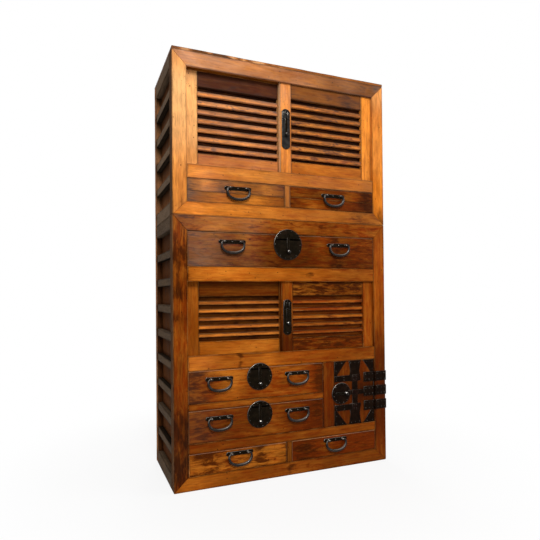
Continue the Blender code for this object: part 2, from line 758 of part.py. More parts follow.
def drawer(name, x, z):
    """A drawer: a thick front on a thin-walled tray."""
    sides = (x[0] + DRAWER_CLEARANCE, x[1] - DRAWER_CLEARANCE)
    rear = BOARD_Y[1] - DRAWER_BACK_ROOM
    bottom = z[0] + GAP
    front_top = z[1] - DRAWER_HEADROOM
    tray_top = front_top - DRAWER_SIDE_DROP
    shapes = [
        block(sides, (DRAWER_FACE, DRAWER_FACE + DRAWER_FRONT), (bottom, front_top)),
        block(sides, (DRAWER_FACE + LAP, rear), (bottom, tray_top)),
    ]
    hollow = block(
        (sides[0] + DRAWER_SIDE, sides[1] - DRAWER_SIDE),
        (DRAWER_FACE + DRAWER_FRONT, rear - DRAWER_SIDE),
        (bottom + DRAWER_BOTTOM, front_top),
    )
    pivot = (sum(x) / 2, DRAWER_FACE, sum(z) / 2)
    return seat(fuse(name, shapes, [hollow]), RED_WOOD, pivot)


def single_pull_drawers(level, z, rise):
    """A pair of drawers either side of the middle post, with one pull each."""
    post = DRAWER_POST / 2
    for hand, x in (("left", (-INNER, -post)), ("right", (post, INNER))):
        name = f"{level}_{hand}_drawer"
        body = drawer(name, x, z)
        bail_pull(f"{name}_pull", sum(x) / 2, sum(z) / 2 + rise, body)


def twin_pull_drawer(name, x, z, rise, inset):
    """A wide drawer with a pull inside each end, on either side of its lock."""
    body = drawer(name, x, z)
    for hand, pull_x in (("left", x[0] + inset), ("right", x[1] - inset)):
        bail_pull(f"{name}_{hand}_pull", pull_x, sum(z) / 2 + rise, body)
    return body


def drawers():
    single_pull_drawers("upper", UPPER_DRAWER_Z, UPPER_PULL_RISE)
    single_pull_drawers("bottom", BOTTOM_DRAWER_Z, BOTTOM_PULL_RISE)

    x = (-INNER, INNER)
    body = twin_pull_drawer("long_drawer", x, LONG_DRAWER_Z, LONG_PULL_RISE, LONG_PULL_INSET)
    centre = (0.0, LONG_DRAWER_Z[1] - LONG_LOCK_DROP)
    sizes = (LONG_LOCK_RADIUS, LONG_LOCK_DROP, LONG_LOCK_STEP, LONG_LOCK_KNOB)
    drawer_lock("long_drawer_lock", centre, *sizes, body)

    sizes = (DRAWER_LOCK_RADIUS, DRAWER_LOCK_DROP, DRAWER_LOCK_STEP, DRAWER_LOCK_KNOB)
    for name, z in (("lock_drawer_1", LOCK_DRAWER_1_Z), ("lock_drawer_2", LOCK_DRAWER_2_Z)):
        body = twin_pull_drawer(name, LOCK_BAY_X, z, LOCK_PULL_RISE, LOCK_PULL_INSET)
        centre = (sum(LOCK_BAY_X) / 2, z[1] - DRAWER_LOCK_DROP)
        drawer_lock(f"{name}_lock", centre, *sizes, body)


# Slatted doors


def slatted_door(name, x, setback, z, slats, slat_height):
    """Stiles and rails round a thin panel, with slats that stand in front of it."""
    face = FRONT + setback
    rear = face + DOOR_THICKNESS
    inside = (x[0] + DOOR_STILE - LAP, x[1] - DOOR_STILE + LAP)
    rail_y = (face + DOOR_RAIL_INSET, rear)
    shapes = [
        block((x[0], x[0] + DOOR_STILE), (face, rear), z),
        block((x[1] - DOOR_STILE, x[1]), (face, rear), z),
        block(inside, rail_y, (z[0], z[0] + DOOR_BOTTOM_RAIL)),
        block(inside, rail_y, (z[1] - DOOR_TOP_RAIL, z[1])),
        block(inside, (rear - DOOR_PANEL, rear), z),
    ]
    open_height = z[1] - z[0] - DOOR_BOTTOM_RAIL - DOOR_TOP_RAIL
    space = (open_height - slats * slat_height) / (slats + 1)
    slat_y = (face + SLAT_INSET, rear - DOOR_PANEL / 2)
    for index in range(slats):
        low = z[0] + DOOR_BOTTOM_RAIL + space + index * (space + slat_height)
        high = low + slat_height
        outline = [
            (slat_y[0], low),
            (slat_y[1], low),
            (slat_y[1], high),
            (slat_y[0] + SLAT_CHAMFER, high),
            (slat_y[0], high - SLAT_CHAMFER),
        ]
        shapes.append(prism(outline, X, inside))
    pivot = (sum(x) / 2, face, sum(z) / 2)
    return seat(fuse(name, shapes), AMBER_WOOD, pivot)


def sliding_doors():
    rows = (
        ("upper", UPPER_DOOR_Z, UPPER_SLATS, UPPER_SLAT, UPPER_DOOR_LOCK),
        ("lower", LOWER_DOOR_Z, LOWER_SLATS, LOWER_SLAT, LOWER_DOOR_LOCK),
    )
    for level, bay, slats, slat_height, lock in rows:
        z = (bay[0] - SILL_GROOVE + GAP, bay[1] + HEAD_GROOVE - HEAD_PLAY)
        slatted_door(f"{level}_left_door", LEFT_DOOR_X, REAR_DOOR_SETBACK, z, slats, slat_height)
        front_door = slatted_door(f"{level}_right_door", RIGHT_DOOR_X, DOOR_SETBACK, z, slats, slat_height)
        door_lock(f"{level}_door_lock", lock, RIGHT_DOOR_X, z, front_door)


# Safe


def hinge_levels():
    middle = sum(SAFE_Z) / 2
    return [middle + step * HINGE_PITCH for step in (1, 0, -1)]


def hinge_axis():
    return (SAFE_X[1], FRONT - PLATE_STAND - HINGE_BARREL)


def barrel(z, radius):
    return prism(circle(hinge_axis(), radius, BARREL_SIDES), Z, z)


def iron_corners(iron_x, middle_x, door_z, y):
    """A three-cornered plate in each corner, its foot running along the door's edge to a strap."""
    plates = []
    foot = HINGE_PITCH - IRON_STRAP / 4
    middle = sum(door_z) / 2
    for edge, inward in ((iron_x[0], 1), (iron_x[1], -1)):
        leg = abs(middle_x - edge) - IRON_FLARE / 2 - IRON_CORNER_GAP
        for end, upward in ((door_z[0], 1), (door_z[1], -1)):
            strap = middle - upward * foot
            outline = [
                (edge, end),
                (edge + inward * leg, end),
                (edge + inward * IRON_CORNER_FOOT, end + upward * IRON_CORNER),
                (edge + inward * IRON_EDGE, strap),
                (edge, strap),
            ]
            plates.append(prism(outline, Y, y))
    return plates


def iron_flares(middle_x, door_z, y):
    """The upright strap: a waist between two ends that flare at the door's edge and at a strap."""
    middle_z = sum(door_z) / 2
    shapes = [block((middle_x - IRON_WAIST / 2, middle_x + IRON_WAIST / 2), y, door_z)]
    for end, upward in ((door_z[0], 1), (door_z[1], -1)):
        strap = middle_z - upward * (HINGE_PITCH - IRON_STRAP / 2)
        neck = (end + strap) / 2
        right = [(IRON_FLARE / 2, end), (IRON_FLARE_NECK / 2, neck), (IRON_FLARE / 2, strap)]
        outline = [(middle_x + x, z) for x, z in right]
        outline += [(middle_x - x, z) for x, z in reversed(right)]
        shapes.append(prism(outline, Y, y))
    return shapes


def moving_leaf(level, y):
    """A hinge leaf on the door, with a knuckle at each end of the barrel."""
    axis_x = hinge_axis()[0]
    low, high = level - HINGE_HEIGHT / 2, level + HINGE_HEIGHT / 2
    third = HINGE_HEIGHT / 3
    edge = axis_x - HINGE_BARREL - GAP
    front = y[0] - HINGE_LEAF_THICKNESS / 2
    shapes = [block((axis_x - HINGE_LEAF, edge), (front, y[1]), (low, high))]
    for z in ((low, low + third - GAP), (high - third + GAP, high)):
        shapes.append(block((edge - LAP, axis_x), (front, PLATE_BACK), z))
        shapes.append(barrel(z, HINGE_BARREL))
    return shapes


def safe_ironwork(door, door_x, door_z):
    """The door's iron binding with its lock plate and the moving hinge leaves."""
    y = (DRAWER_FACE - GAP - IRON, DRAWER_FACE - GAP)
    middle_x = sum(door_x) / 2
    iron_x = (door_x[0], hinge_axis()[0] - HINGE_BARREL - 2 * GAP)
    top_level, middle_level, low_level = hinge_levels()
    shapes = iron_flares(middle_x, door_z, y) + iron_corners(iron_x, middle_x, door_z, y)
    for level in (top_level, low_level):
        shapes.append(block((iron_x[0], middle_x), y, (level - IRON_STRAP / 2, level + IRON_STRAP / 2)))
    half = IRON_MIDDLE_STRAP / 2
    shapes.append(block((iron_x[0] + LAP, iron_x[1] - LAP), y, (middle_level - half, middle_level + half)))
    shapes.append(block((iron_x[1] - IRON_EDGE, iron_x[1]), y, door_z))
    for level in hinge_levels():
        shapes += moving_leaf(level, y)

    face = LockFace((SAFE_X[0] + SAFE_LOCK_INSET, middle_level), (-1.0, 0.0))
    front = PLATE_BACK - PLATE
    shapes += round_lock_shapes(face, SAFE_LOCK_RADIUS, SAFE_LOCK_STEP)
    cuts = [bolt_channel(face, SAFE_LOCK_STEP, SAFE_LOCK_KNOB, front)]
    bore = (HINGE_PIN + GAP) / math.cos(math.pi / BARREL_SIDES)
    cuts.append(barrel((door_z[0] - LAP, door_z[1] + LAP), bore))
    pivot = (*hinge_axis(), middle_level)
    seat(fuse("safe_ironwork", shapes, cuts), DARK_IRON, pivot, door)
    sliding_bolt("safe_bolt", face, SAFE_LOCK_STEP, SAFE_LOCK_KNOB, front, door)


def fixed_leaf(name, level):
    """A hinge leaf that runs over the stile and round its corner, with the middle knuckle and the pin."""
    axis_x = hinge_axis()[0]
    low, high = level - HINGE_HEIGHT / 2, level + HINGE_HEIGHT / 2
    third = HINGE_HEIGHT / 3
    knuckle = (low + third + GAP, high - third - GAP)
    clear = HINGE_BARREL + 2 * GAP
    leaf_y = (FRONT - GAP - HINGE_LEAF_THICKNESS, FRONT - GAP)
    side_x = (HALF + GAP, HALF + GAP + IRON)
    shapes = [
        block((axis_x + clear, side_x[1]), leaf_y, (low, high)),
        block(side_x, (leaf_y[0], FRONT + HINGE_WRAP), (low, high)),
        block((axis_x, axis_x + clear + LAP), (leaf_y[0], PLATE_BACK), knuckle),
        barrel(knuckle, HINGE_BARREL),
        barrel((low, high), HINGE_PIN),
    ]
    seat(fuse(name, shapes), DARK_IRON)


def safe():
    """The safe's door, swung on three hinges at its right edge."""
    door_x = (SAFE_X[0] + SAFE_CLEARANCE, SAFE_X[1] - SAFE_CLEARANCE)
    door_z = (SAFE_Z[0] + SAFE_CLEARANCE, SAFE_Z[1] - SAFE_CLEARANCE)
    slab = block(door_x, (DRAWER_FACE, DRAWER_FACE + SAFE_DOOR), door_z)
    door = seat(fuse("safe_door", [slab]), RED_WOOD, (*hinge_axis(), sum(door_z) / 2))
    safe_ironwork(door, door_x, door_z)
    for name, level in zip(("safe_top_hinge", "safe_middle_hinge", "safe_low_hinge"), hinge_levels()):
        fixed_leaf(name, level)


def main():
    for leftover in list(bpy.data.objects):
        bpy.data.objects.remove(leftover)
    upper_case()
    lower_case()
    drawers()
    sliding_doors()
    safe()


main()
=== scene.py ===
"""The looks of a choba tansu: worn lacquered boards, blackened iron, soft studio light and the photo's view.

Each board keeps marks on its points for its material: its place along and across the grain, its half sizes, a
seed that moves the grain from board to board, its tone (shade, redness, stain), and its painted reflection of
light on the lacquer and the strength of its figure. On iron the third number of that last mark is how far a point
faces the light, for a painted highlight.
"""

import json
import math
import random

import bmesh
import bpy
from mathutils import Matrix, Vector, noise

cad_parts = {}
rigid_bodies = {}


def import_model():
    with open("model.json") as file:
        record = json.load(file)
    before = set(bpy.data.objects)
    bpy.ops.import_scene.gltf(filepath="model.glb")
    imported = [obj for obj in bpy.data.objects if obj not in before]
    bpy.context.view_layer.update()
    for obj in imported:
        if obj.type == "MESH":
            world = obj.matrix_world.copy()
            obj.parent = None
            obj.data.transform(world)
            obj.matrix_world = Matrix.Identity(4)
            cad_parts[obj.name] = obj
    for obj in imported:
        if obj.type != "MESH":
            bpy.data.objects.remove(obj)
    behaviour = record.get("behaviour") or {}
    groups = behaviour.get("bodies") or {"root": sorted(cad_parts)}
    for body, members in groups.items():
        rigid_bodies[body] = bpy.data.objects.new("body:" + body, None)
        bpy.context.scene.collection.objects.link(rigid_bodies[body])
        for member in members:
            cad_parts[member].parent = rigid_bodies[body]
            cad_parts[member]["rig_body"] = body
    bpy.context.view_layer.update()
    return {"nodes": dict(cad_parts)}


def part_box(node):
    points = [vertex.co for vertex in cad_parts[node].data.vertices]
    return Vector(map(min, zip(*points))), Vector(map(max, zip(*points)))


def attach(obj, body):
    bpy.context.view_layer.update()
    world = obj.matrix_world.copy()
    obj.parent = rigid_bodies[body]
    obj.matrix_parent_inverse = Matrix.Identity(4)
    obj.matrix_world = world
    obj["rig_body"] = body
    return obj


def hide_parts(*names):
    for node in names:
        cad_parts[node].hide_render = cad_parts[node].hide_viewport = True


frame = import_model()

X, Y, Z = range(3)

# Sizes shared with the part, in metres
GAP = 0.0003
HEADROOM = 0.0015
SIDE_PLAY = 0.0012
STILE_WIDTH = 0.0535
STILE_DEPTH = 0.046
RAIL_DEPTH = 0.030
TRACK_DEPTH = 0.0556
REAR_POST = 0.040
SIDE_THICKNESS = 0.030
SIDE_PANEL = 0.008
SIDE_RAIL = 0.050
SIDE_BATTEN = 0.030
SIDE_BATTEN_INSET = 0.002
SIDE_BATTENS = {"upper": 4, "lower": 8}
BOARD = 0.010
BOTTOM_BOARD = 0.012
RUNNER_WIDTH = 0.022
GUIDE_HEIGHT = 0.030
DRAWER_POST = 0.022
DOOR_SETBACK = 0.010
DOOR_THICKNESS = 0.018
DOOR_SPACING = 0.003
DOOR_STILE = 0.048
DOOR_TOP_RAIL = 0.062
DOOR_BOTTOM_RAIL = 0.052
DOOR_PANEL = 0.004
DOOR_RAIL_INSET = 0.001
GROOVE_PLAY = 0.0006
HEAD_GROOVE = 0.008
SILL_GROOVE = 0.003
SLATS = {"upper": (7, 0.020), "lower": (5, 0.014)}
SLAT_SHOWN = {"upper": 0.84, "lower": 1.0}
SLAT_INSET = 0.002
DRAWER_FRONT = 0.018
DRAWER_SIDE = 0.009
DRAWER_BOTTOM = 0.006
DRAWER_SIDE_DROP = 0.010
BACK_BOARDS = 5
TOP_JOINTS = (0.13, 0.26)

# Edges and wear of the boards
EDGE = 0.0011
DRAWER_EDGE = 0.0020
DRAWER_LOWERED = 0.0007
SOFT_EDGE = 0.0018
EDGE_STEPS = 2
EDGE_EASE = 0.3
# An edge's largest radius, as a share of half a side, and its smallest, as a share of its own radius
EDGE_MOST = 0.45
EDGE_LEAST = 0.1
STATION_STEP = 0.020
SHARP = math.radians(50)
GRAIN_SHIFT = (40, 4, 4)
JOINT = 0.0004
WEAR = 0.00022
TOP_WEAR = 0.0007
WEAR_PITCH = 0.050
WEAR_SEED = 3
noise.seed_set(WEAR_SEED)

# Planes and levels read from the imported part
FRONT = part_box("upper_top_frame")[0].y
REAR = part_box("upper_top_frame")[1].y
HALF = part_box("upper_top_frame")[1].x
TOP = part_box("upper_top_frame")[1].z
INNER = HALF - STILE_WIDTH
WALL = HALF - SIDE_THICKNESS
UPPER_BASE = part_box("upper_left_side")[0].z
UPPER_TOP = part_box("upper_left_side")[1].z + GAP
UPPER_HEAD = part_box("upper_top_frame")[0].z
UPPER_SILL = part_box("upper_drawer_frame")[1].z
LOWER_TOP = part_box("lower_left_side")[1].z
LOWER_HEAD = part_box("lower_head_shelf")[0].z
LOWER_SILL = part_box("lower_sill_shelf")[1].z
BOARD_Y = (FRONT + STILE_DEPTH + GAP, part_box("upper_back")[0].y - GAP)
RAIL_Y = (FRONT, FRONT + RAIL_DEPTH)
BETWEEN_STILES = (GAP - INNER, INNER - GAP)
BETWEEN_WALLS = (GAP - WALL, WALL - GAP)


def bay(drawer):
    """The X and Z spans of the opening that a drawer fills."""
    low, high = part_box(drawer)
    return (low.x - SIDE_PLAY, high.x + SIDE_PLAY), (low.z - GAP, high.z + HEADROOM)


UPPER_BAY_Z = bay("upper_left_drawer")[1]
LONG_BAY_Z = bay("long_drawer")[1]
LOCK_BAY_X, LOCK_1_Z = bay("lock_drawer_1")
LOCK_2_Z = bay("lock_drawer_2")[1]
BOTTOM_BAY_Z = bay("bottom_left_drawer")[1]
SAFE_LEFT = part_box("safe_door")[0].x - HEADROOM

# The side that the ironwork's painted highlights face: the side the light comes from
LIGHT_SIDE = Vector((-0.50, -0.55, 0.67)).normalized()


def span(middle, width):
    return (middle - width / 2, middle + width / 2)


def ordered(first, second):
    return tuple(sorted((first, second)))


def skin(rings, count):
    """The end caps of a stack of closed loops of points, and the faces between the loops."""
    caps = [list(range(count)), list(range(count * (rings - 1), count * rings))]
    sides = []
    for base in range(0, count * (rings - 1), count):
        for index in range(count):
            after = (index + 1) % count
            sides.append([base + index, base + after, base + count + after, base + count + index])
    return caps, sides


def mark_rubbed(mesh):
    """Marks how far each point of an iron mesh faces the light, for its painted highlight."""
    for vertex, mark in zip(mesh.vertices, mesh.attributes["board_light_and_figure"].data):
        mark.vector = (0.0, 0.0, max(0.0, vertex.normal.dot(LIGHT_SIDE)))


class Piece:
    """Points, faces and board marks gathered for one mesh."""

    MARKS = ("board_place", "board_half", "board_seed", "board_tone", "board_light_and_figure")

    def __init__(self):
        self.points = []
        self.faces = []
        self.finishes = []
        self.marks = {name: [] for name in self.MARKS}

    def add(self, points, faces, marks=None, finishes=None):
        """Adds a closed form, with one vector in each mark for each of its points and a finish for each face."""
        start = len(self.points)
        self.points += points
        self.faces += [[start + index for index in face] for face in faces]
        self.finishes += finishes or [0] * len(faces)
        for name in self.MARKS:
            self.marks[name] += marks[name] if marks else [(0.0, 0.0, 0.0)] * len(points)

    def make(self, name, body, slot, materials, replaced=()):
        """Makes the object, which rides on a body and stands for CAD nodes."""
        mesh = bpy.data.meshes.new(name)
        mesh.from_pydata(self.points, [], self.faces)
        for material in materials:
            mesh.materials.append(material)
        mesh.polygons.foreach_set("material_index", self.finishes)
        for mark, vectors in self.marks.items():
            layer = mesh.attributes.new(mark, "FLOAT_VECTOR", "POINT")
            layer.data.foreach_set("vector", [number for vector in vectors for number in vector])
        bm = bmesh.new()
        bm.from_mesh(mesh)
        bmesh.ops.recalc_face_normals(bm, faces=bm.faces)
        bm.to_mesh(mesh)
        bm.free()
        if slot == "iron":
            mark_rubbed(mesh)
        mesh.shade_smooth()
        mesh.set_sharp_from_angle(angle=SHARP)
        piece = bpy.data.objects.new(name, mesh)
        bpy.context.scene.collection.objects.link(piece)
        normals = piece.modifiers.new("even_shading", "WEIGHTED_NORMAL")
        normals.keep_sharp = True
        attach(piece, body)
        if replaced:
            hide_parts(*replaced)


# Boards


def rounded(u, v, radius):
    """A rectangle's outline with rounded corners."""
    outline = []
    for quarter, (corner_u, corner_v) in enumerate(((u[1], v[1]), (u[0], v[1]), (u[0], v[0]), (u[1], v[0]))):
        centre_u = corner_u - math.copysign(radius, corner_u - sum(u) / 2)
        centre_v = corner_v - math.copysign(radius, corner_v - sum(v) / 2)
        for step in range(EDGE_STEPS + 1):
            angle = math.pi / 2 * (quarter + step / EDGE_STEPS)
            outline.append((centre_u + radius * math.cos(angle), centre_v + radius * math.sin(angle)))
    return outline


def stations(length, edge):
    """Where a board's cross-sections lie: (share of the length, offset past it, inset of the section)."""
    inner = max(1, round(length / STATION_STEP))
    ends = [(0.0, 0.0, edge), (0.0, edge * EDGE_EASE, edge * EDGE_EASE), (0.0, edge, 0.0)]
    middle = [(index / inner, 0.0, 0.0) for index in range(1, inner)]
    return ends + middle + [(1.0, -offset, inset) for _, offset, inset in reversed(ends)]


def hundredths(numbers):
    """The four numbers of a tone from those given of them, in hundredths."""
    return Vector([number / 100 for number in (*numbers, 0, 0, 0)[:4]])


def toned(name, place):
    """A board's tone (shade, redness, stain, painted reflection) at a place along its grain, measured from its
    middle.
    """
    first, *patches = TONES[name]
    tone = hundredths(first)
    for at, spread, *change in patches:
        tone += hundredths(change) * math.exp(-(((place - at / 100) / (spread / 100)) ** 2))
    return tuple(tone)


def shaded(mark, factor):
    """A tone with its shade multiplied."""
    return (mark[0] * factor, *mark[1:])


def section(u, v, radius, lane):
    """A board's section; a lane adds points behind its front edge, which keep paint on that edge from spreading."""
    outline = rounded(u, v, radius)
    if lane:
        corner = EDGE_STEPS + 1
        outline.insert(3 * corner, (u[0] + lane, v[0]))
        outline.insert(corner, (u[0] + lane, v[1]))
    return outline


def board(
    piece, x, y, z, along, name, edge=EDGE, wear=WEAR, ends=None, paint=None, outer=False, seed=None, lane=None
):
    """A board with rounded edges, its grain along an axis and the tone of its name.

    ends gives the start and end along the grain as functions of a section point, for mitres. paint may change
    the tone at a point. outer gives the faces on the case's outside the piece's second finish. seed tells apart
    the grain of boards at one place.
    """
    axes = (along, *(axis for axis in (X, Y, Z) if axis != along))
    spans = [(x, y, z)[axis] for axis in axes]
    length, *sides = spans
    middles = [sum(each) / 2 for each in spans]
    halves = tuple((high - low) / 2 for low, high in spans)
    draw = random.Random(repr((x, y, z, seed)))
    offset = Vector([draw.uniform(0, most) for most in GRAIN_SHIFT])
    radius = min(edge, EDGE_MOST * min(halves))
    start, stop = ends or (lambda point: length[0], lambda point: length[1])
    points, places, tones = [], [], []
    rings = stations(length[1] - length[0], radius)
    for share, past, inset in rings:
        u, v = ((low + inset, high - inset) for low, high in sides)
        for section_point in section(u, v, max(radius - inset, radius * EDGE_LEAST), lane):
            low, high = start(section_point), stop(section_point)
            spot = (low + (high - low) * share + past, *section_point)
            place = tuple(value - middle for value, middle in zip(spot, middles))
            point = Vector((0.0, 0.0, 0.0))
            for axis, value in zip(axes, spot):
                point[axis] = value
            mark = toned(name, place[0])
            if name in PAINTED_LIGHT_FALLS:
                mark = shaded(mark, 1.0 + PAINTED_LIGHT_FALLS[name] * place[2] / halves[2])
            tones.append(paint(point, mark) if paint else mark)
            points.append(tuple(point + noise.noise_vector(point / WEAR_PITCH + offset) * wear))
            places.append(place)
    caps, strips = skin(len(rings), len(points) // len(rings))
    faces = caps + strips
    figure = FIGURES.get(name, PLAIN_FIGURE) / 10
    marks = {
        "board_place": places,
        "board_half": [halves] * len(points),
        "board_seed": [tuple(offset)] * len(points),
        "board_tone": [tone[:3] for tone in tones],
        "board_light_and_figure": [(tone[3], figure, 0.0) for tone in tones],
    }
    finishes = [int(outer and all(abs(points[i][X]) > HALF - EDGE / 2 for i in face)) for face in faces]
    piece.add(points, faces, marks, finishes)


def across(hand, near, far):
    """The X span between two depths inside the case's outer face, on the left (-1) or right (1)."""
    return ordered(hand * (HALF - near), hand * (HALF - far))


# Materials

RUST = (0.016, 0.0075, 0.004)
# Colour of the painted reflection of light on the lacquer
REFLECTION_COLOUR = (0.66, 0.52, 0.44)


class Value:
    """What a node gives; sums with it add nodes, and an index finds the node's other outputs."""

    def __init__(self, nodes, socket):
        self.nodes = nodes
        self.socket = socket

    def __getitem__(self, key):
        return Value(self.nodes, self.socket.node.outputs[key])

    def __add__(self, other):
        return self.nodes.math("ADD", self, other)

    def __sub__(self, other):
        return self.nodes.math("SUBTRACT", self, other)

    def __mul__(self, other):
        return self.nodes.math("MULTIPLY", self, other)


class Nodes:
    """A node tree under construction; its methods add a node and return what it gives."""

    def __init__(self, owner):
        owner.use_nodes = True
        self.tree = owner.node_tree

    def feed(self, socket, value):
        if isinstance(value, Value):
            self.tree.links.new(value.socket, socket)
        else:
            socket.default_value = value

    def set(self, name, **values):
        """Sets sockets of a node that was there, named with underscores for spaces, and returns what it gives."""
        node = self.tree.nodes[name]
        for socket, value in values.items():
            self.feed(node.inputs[socket.replace("_", " ")], value)
        return Value(self, node.outputs[0]) if node.outputs else None

    def node(self, kind, inputs, **settings):
        node = self.tree.nodes.new(f"ShaderNode{kind}")
        for key, value in settings.items():
            setattr(node, key, value)
        for key, value in inputs.items():
            self.feed(node.inputs[key], value)
        return Value(self, node.outputs[0])

    def math(self, operation, first, second=0.0, third=0.0):
        return self.node("Math", {0: first, 1: second, 2: third}, operation=operation)

    def vector(self, operation, first, second=(0.0, 0.0, 0.0)):
        return self.node("VectorMath", {0: first, 1: second}, operation=operation)

    def split(self, vector):
        return self.node("SeparateXYZ", {0: vector})

    def mark(self, name):
        return self.node("Attribute", {}, attribute_name=name)["Vector"]

    def noise(self, place, along, across, detail=3.0, roughness=0.55, distortion=0.0):
        inputs = {"Vector": self.vector("MULTIPLY", place, (along, across, across)), "Scale": 1.0}
        inputs.update({"Detail": detail, "Roughness": roughness, "Distortion": distortion})
        return self.node("TexNoise", inputs)

    def spots(self, place, along, across, size, share):
        """Round marks in a share of the cells of a pattern."""
        stretched = self.vector("MULTIPLY", place, (along, across, across))
        cells = self.node("TexVoronoi", {"Vector": stretched, "Scale": 1.0})
        chosen = self.math("LESS_THAN", self.split(cells["Color"])[0], share)
        return chosen * self.ramp(cells["Distance"], size, size * 0.5)

    def ramp(self, value, low, high, start=0.0, stop=1.0):
        inputs = {"Value": value, "From Min": low, "From Max": high, "To Min": start, "To Max": stop}
        return self.node("MapRange", inputs, interpolation_type="SMOOTHSTEP")

    def mix(self, share, first, second):
        """A mixed colour; the second one is three numbers, and the first one may be."""
        under = first if isinstance(first, Value) else (*first, 1.0)
        return self.node("Mix", {0: share, 6: under, 7: (*second, 1.0)}, data_type="RGBA")[2]

    def bump(self, height, strength, distance):
        return self.node("Bump", {"Height": height, "Strength": strength, "Distance": distance})


def edge_distance(shader, place, half):
    """How far a point lies from its board's nearest edge: the middle one of its distances to the faces."""
    first, second, third = shader.split(shader.vector("SUBTRACT", half, shader.vector("ABSOLUTE", place)))
    low = shader.math("MINIMUM", first, second)
    high = shader.math("MAXIMUM", first, second)
    return shader.math("MAXIMUM", low, shader.math("MINIMUM", high, third))


def wood(name, gloss, sheen, pale, light, middle, deep, dark, black, wear_and_highlight):
    """Board wood: grain, growth rings, streaks, stains, dents and worn edges from the board's marks, with edges
    darkened by dirt and painted shade, and a painted reflection of light.
    """
    material = bpy.data.materials.new(name)
    shader = Nodes(material)
    ramp = shader.ramp
    local = shader.mark("board_place")
    shade, redness, stain = shader.split(shader.mark("board_tone"))
    reflection, figure, _ = shader.split(shader.mark("board_light_and_figure"))
    place = shader.vector("ADD", local, shader.mark("board_seed"))
    drift = shader.noise(place, 2.4, 11.0, 2.0)
    streak = shader.noise(place, 2.4, 80.0, 4.0, 0.64)
    cloud = shader.noise(place, 4.5, 13.0)
    blotch = shader.noise(place, 9.0, 30.0, 5.0, 0.62, 0.9)
    mottle = shader.noise(place, 16.0, 60.0, 4.0, 0.65, 0.6)
    grain = shader.noise(place, 26.0, 210.0, 4.0, 0.68, 0.4)
    fibre = shader.noise(place, 16.0, 620.0)
    phase = shader.vector("DOT_PRODUCT", place, (3.0, 330.0, 560.0))["Value"] + drift * 46.0
    ring = ramp(shader.math("SINE", phase), -0.2, 1.0)
    mottled = ramp(mottle, 0.2, 0.8, -0.5, 0.5) * figure
    streaked = (streak - 0.5) * 1.1 + mottled
    blotched = (blotch - 0.5) * 1.5 + mottled
    dents = shader.spots(place, 42.0, 60.0, 0.15, 0.20)
    specks = shader.spots(place, 110.0, 180.0, 0.22, ramp(cloud, 0.42, 0.75, 0.0, 0.30))
    dents = shader.math("MAXIMUM", dents, specks)
    edge = edge_distance(shader, local, shader.mark("board_half")) + (blotch - 0.5) * 0.012

    colour = shader.mix(ramp(streak + cloud, 0.68, 1.32), middle, light)
    for share, coat in (
        (ring * 0.13, deep),
        (ramp(redness, 0.0, -1.0), pale),
        (ramp(redness + streaked, 0.12, 0.95), deep),
        (ramp(stain + blotched, 0.28, 0.74, 0.0, 0.92), dark),
        (ramp(fibre, 0.54, 0.74, 0.0, 0.24), black),
        (ramp(grain, 0.52, 0.74, 0.0, 0.58) * figure, dark),
        (ramp(grain, 0.46, 0.26, 0.0, 0.34) * figure, light),
        (dents * 0.85, black),
        # Darker near every edge: dirt in the joints, with painted shade where boards meet
        (ramp(edge, 0.0060, 0.0005, 0.0, 0.55), black),
        (ramp(edge, 0.0010, 0.0, 0.0, 0.50), wear_and_highlight),
    ):
        colour = shader.mix(share, colour, coat)
    uneven = ramp(grain, 0.66, 0.34, -0.18, 0.16) + ramp(mottle, 0.30, 0.70, -0.36, 0.28)
    uneven = shader.math("MULTIPLY_ADD", uneven, figure, ramp(cloud, 0.34, 0.66, 0.86, 1.12))
    colour = shader.node("VectorMath", {0: colour, "Scale": shade * uneven}, operation="SCALE")
    # The painted reflection of light on the lacquer, patchy with the blotches
    shader.set(
        "Principled BSDF",
        Base_Color=shader.mix(reflection * ramp(blotch, 0.30, 0.70, 0.6, 1.3), colour, REFLECTION_COLOUR),
        Roughness=ramp(cloud + fibre, 0.7, 1.3, gloss - 0.07, gloss + 0.12),
        Specular_IOR_Level=sheen,
        Normal=shader.bump(fibre * 0.35 + ring * -0.12 - dents, 0.35, 0.0007),
    )
    return material


def iron(
    name, base, bright, roughness, metallic=0.0, sheen=0.022, relief=0.25, rusty=0.45, wear_and_highlight=None, rub=(0.60, 0.90)
):
    """Wrought iron: scaly, pitted, browned in patches, and with a painted highlight where it faces the light."""
    material = bpy.data.materials.new(name)
    shader = Nodes(material)
    ramp = shader.ramp
    place = shader.node("TexCoord", {})["Object"]
    scale = shader.noise(place, 70.0, 70.0, 4.0)
    pits = shader.noise(place, 420.0, 420.0)
    hammer = shader.noise(place, 130.0, 130.0, 1.0)
    browned = ramp(shader.noise(place, 26.0, 26.0, 4.0), 0.5, 0.72) * rusty
    colour = shader.mix(ramp(scale, 0.42, 0.68), base, bright)
    colour = shader.mix(shader.math("MAXIMUM", browned, ramp(pits, 0.60, 0.72, 0.0, 0.5)), colour, RUST)
    # Painted highlight on the faces turned to the light
    if wear_and_highlight:
        facing = shader.split(shader.mark("board_light_and_figure"))[2]
        colour = shader.mix(ramp(facing, *rub), colour, wear_and_highlight)
    shader.set(
        "Principled BSDF",
        Base_Color=colour,
        Metallic=metallic,
        Specular_IOR_Level=sheen,
        Roughness=ramp(scale + pits, 0.75, 1.25, roughness - 0.1, roughness + 0.15),
        Normal=shader.bump(hammer * 1.4 - pits * 0.5, relief, 0.0008),
    )
    return material


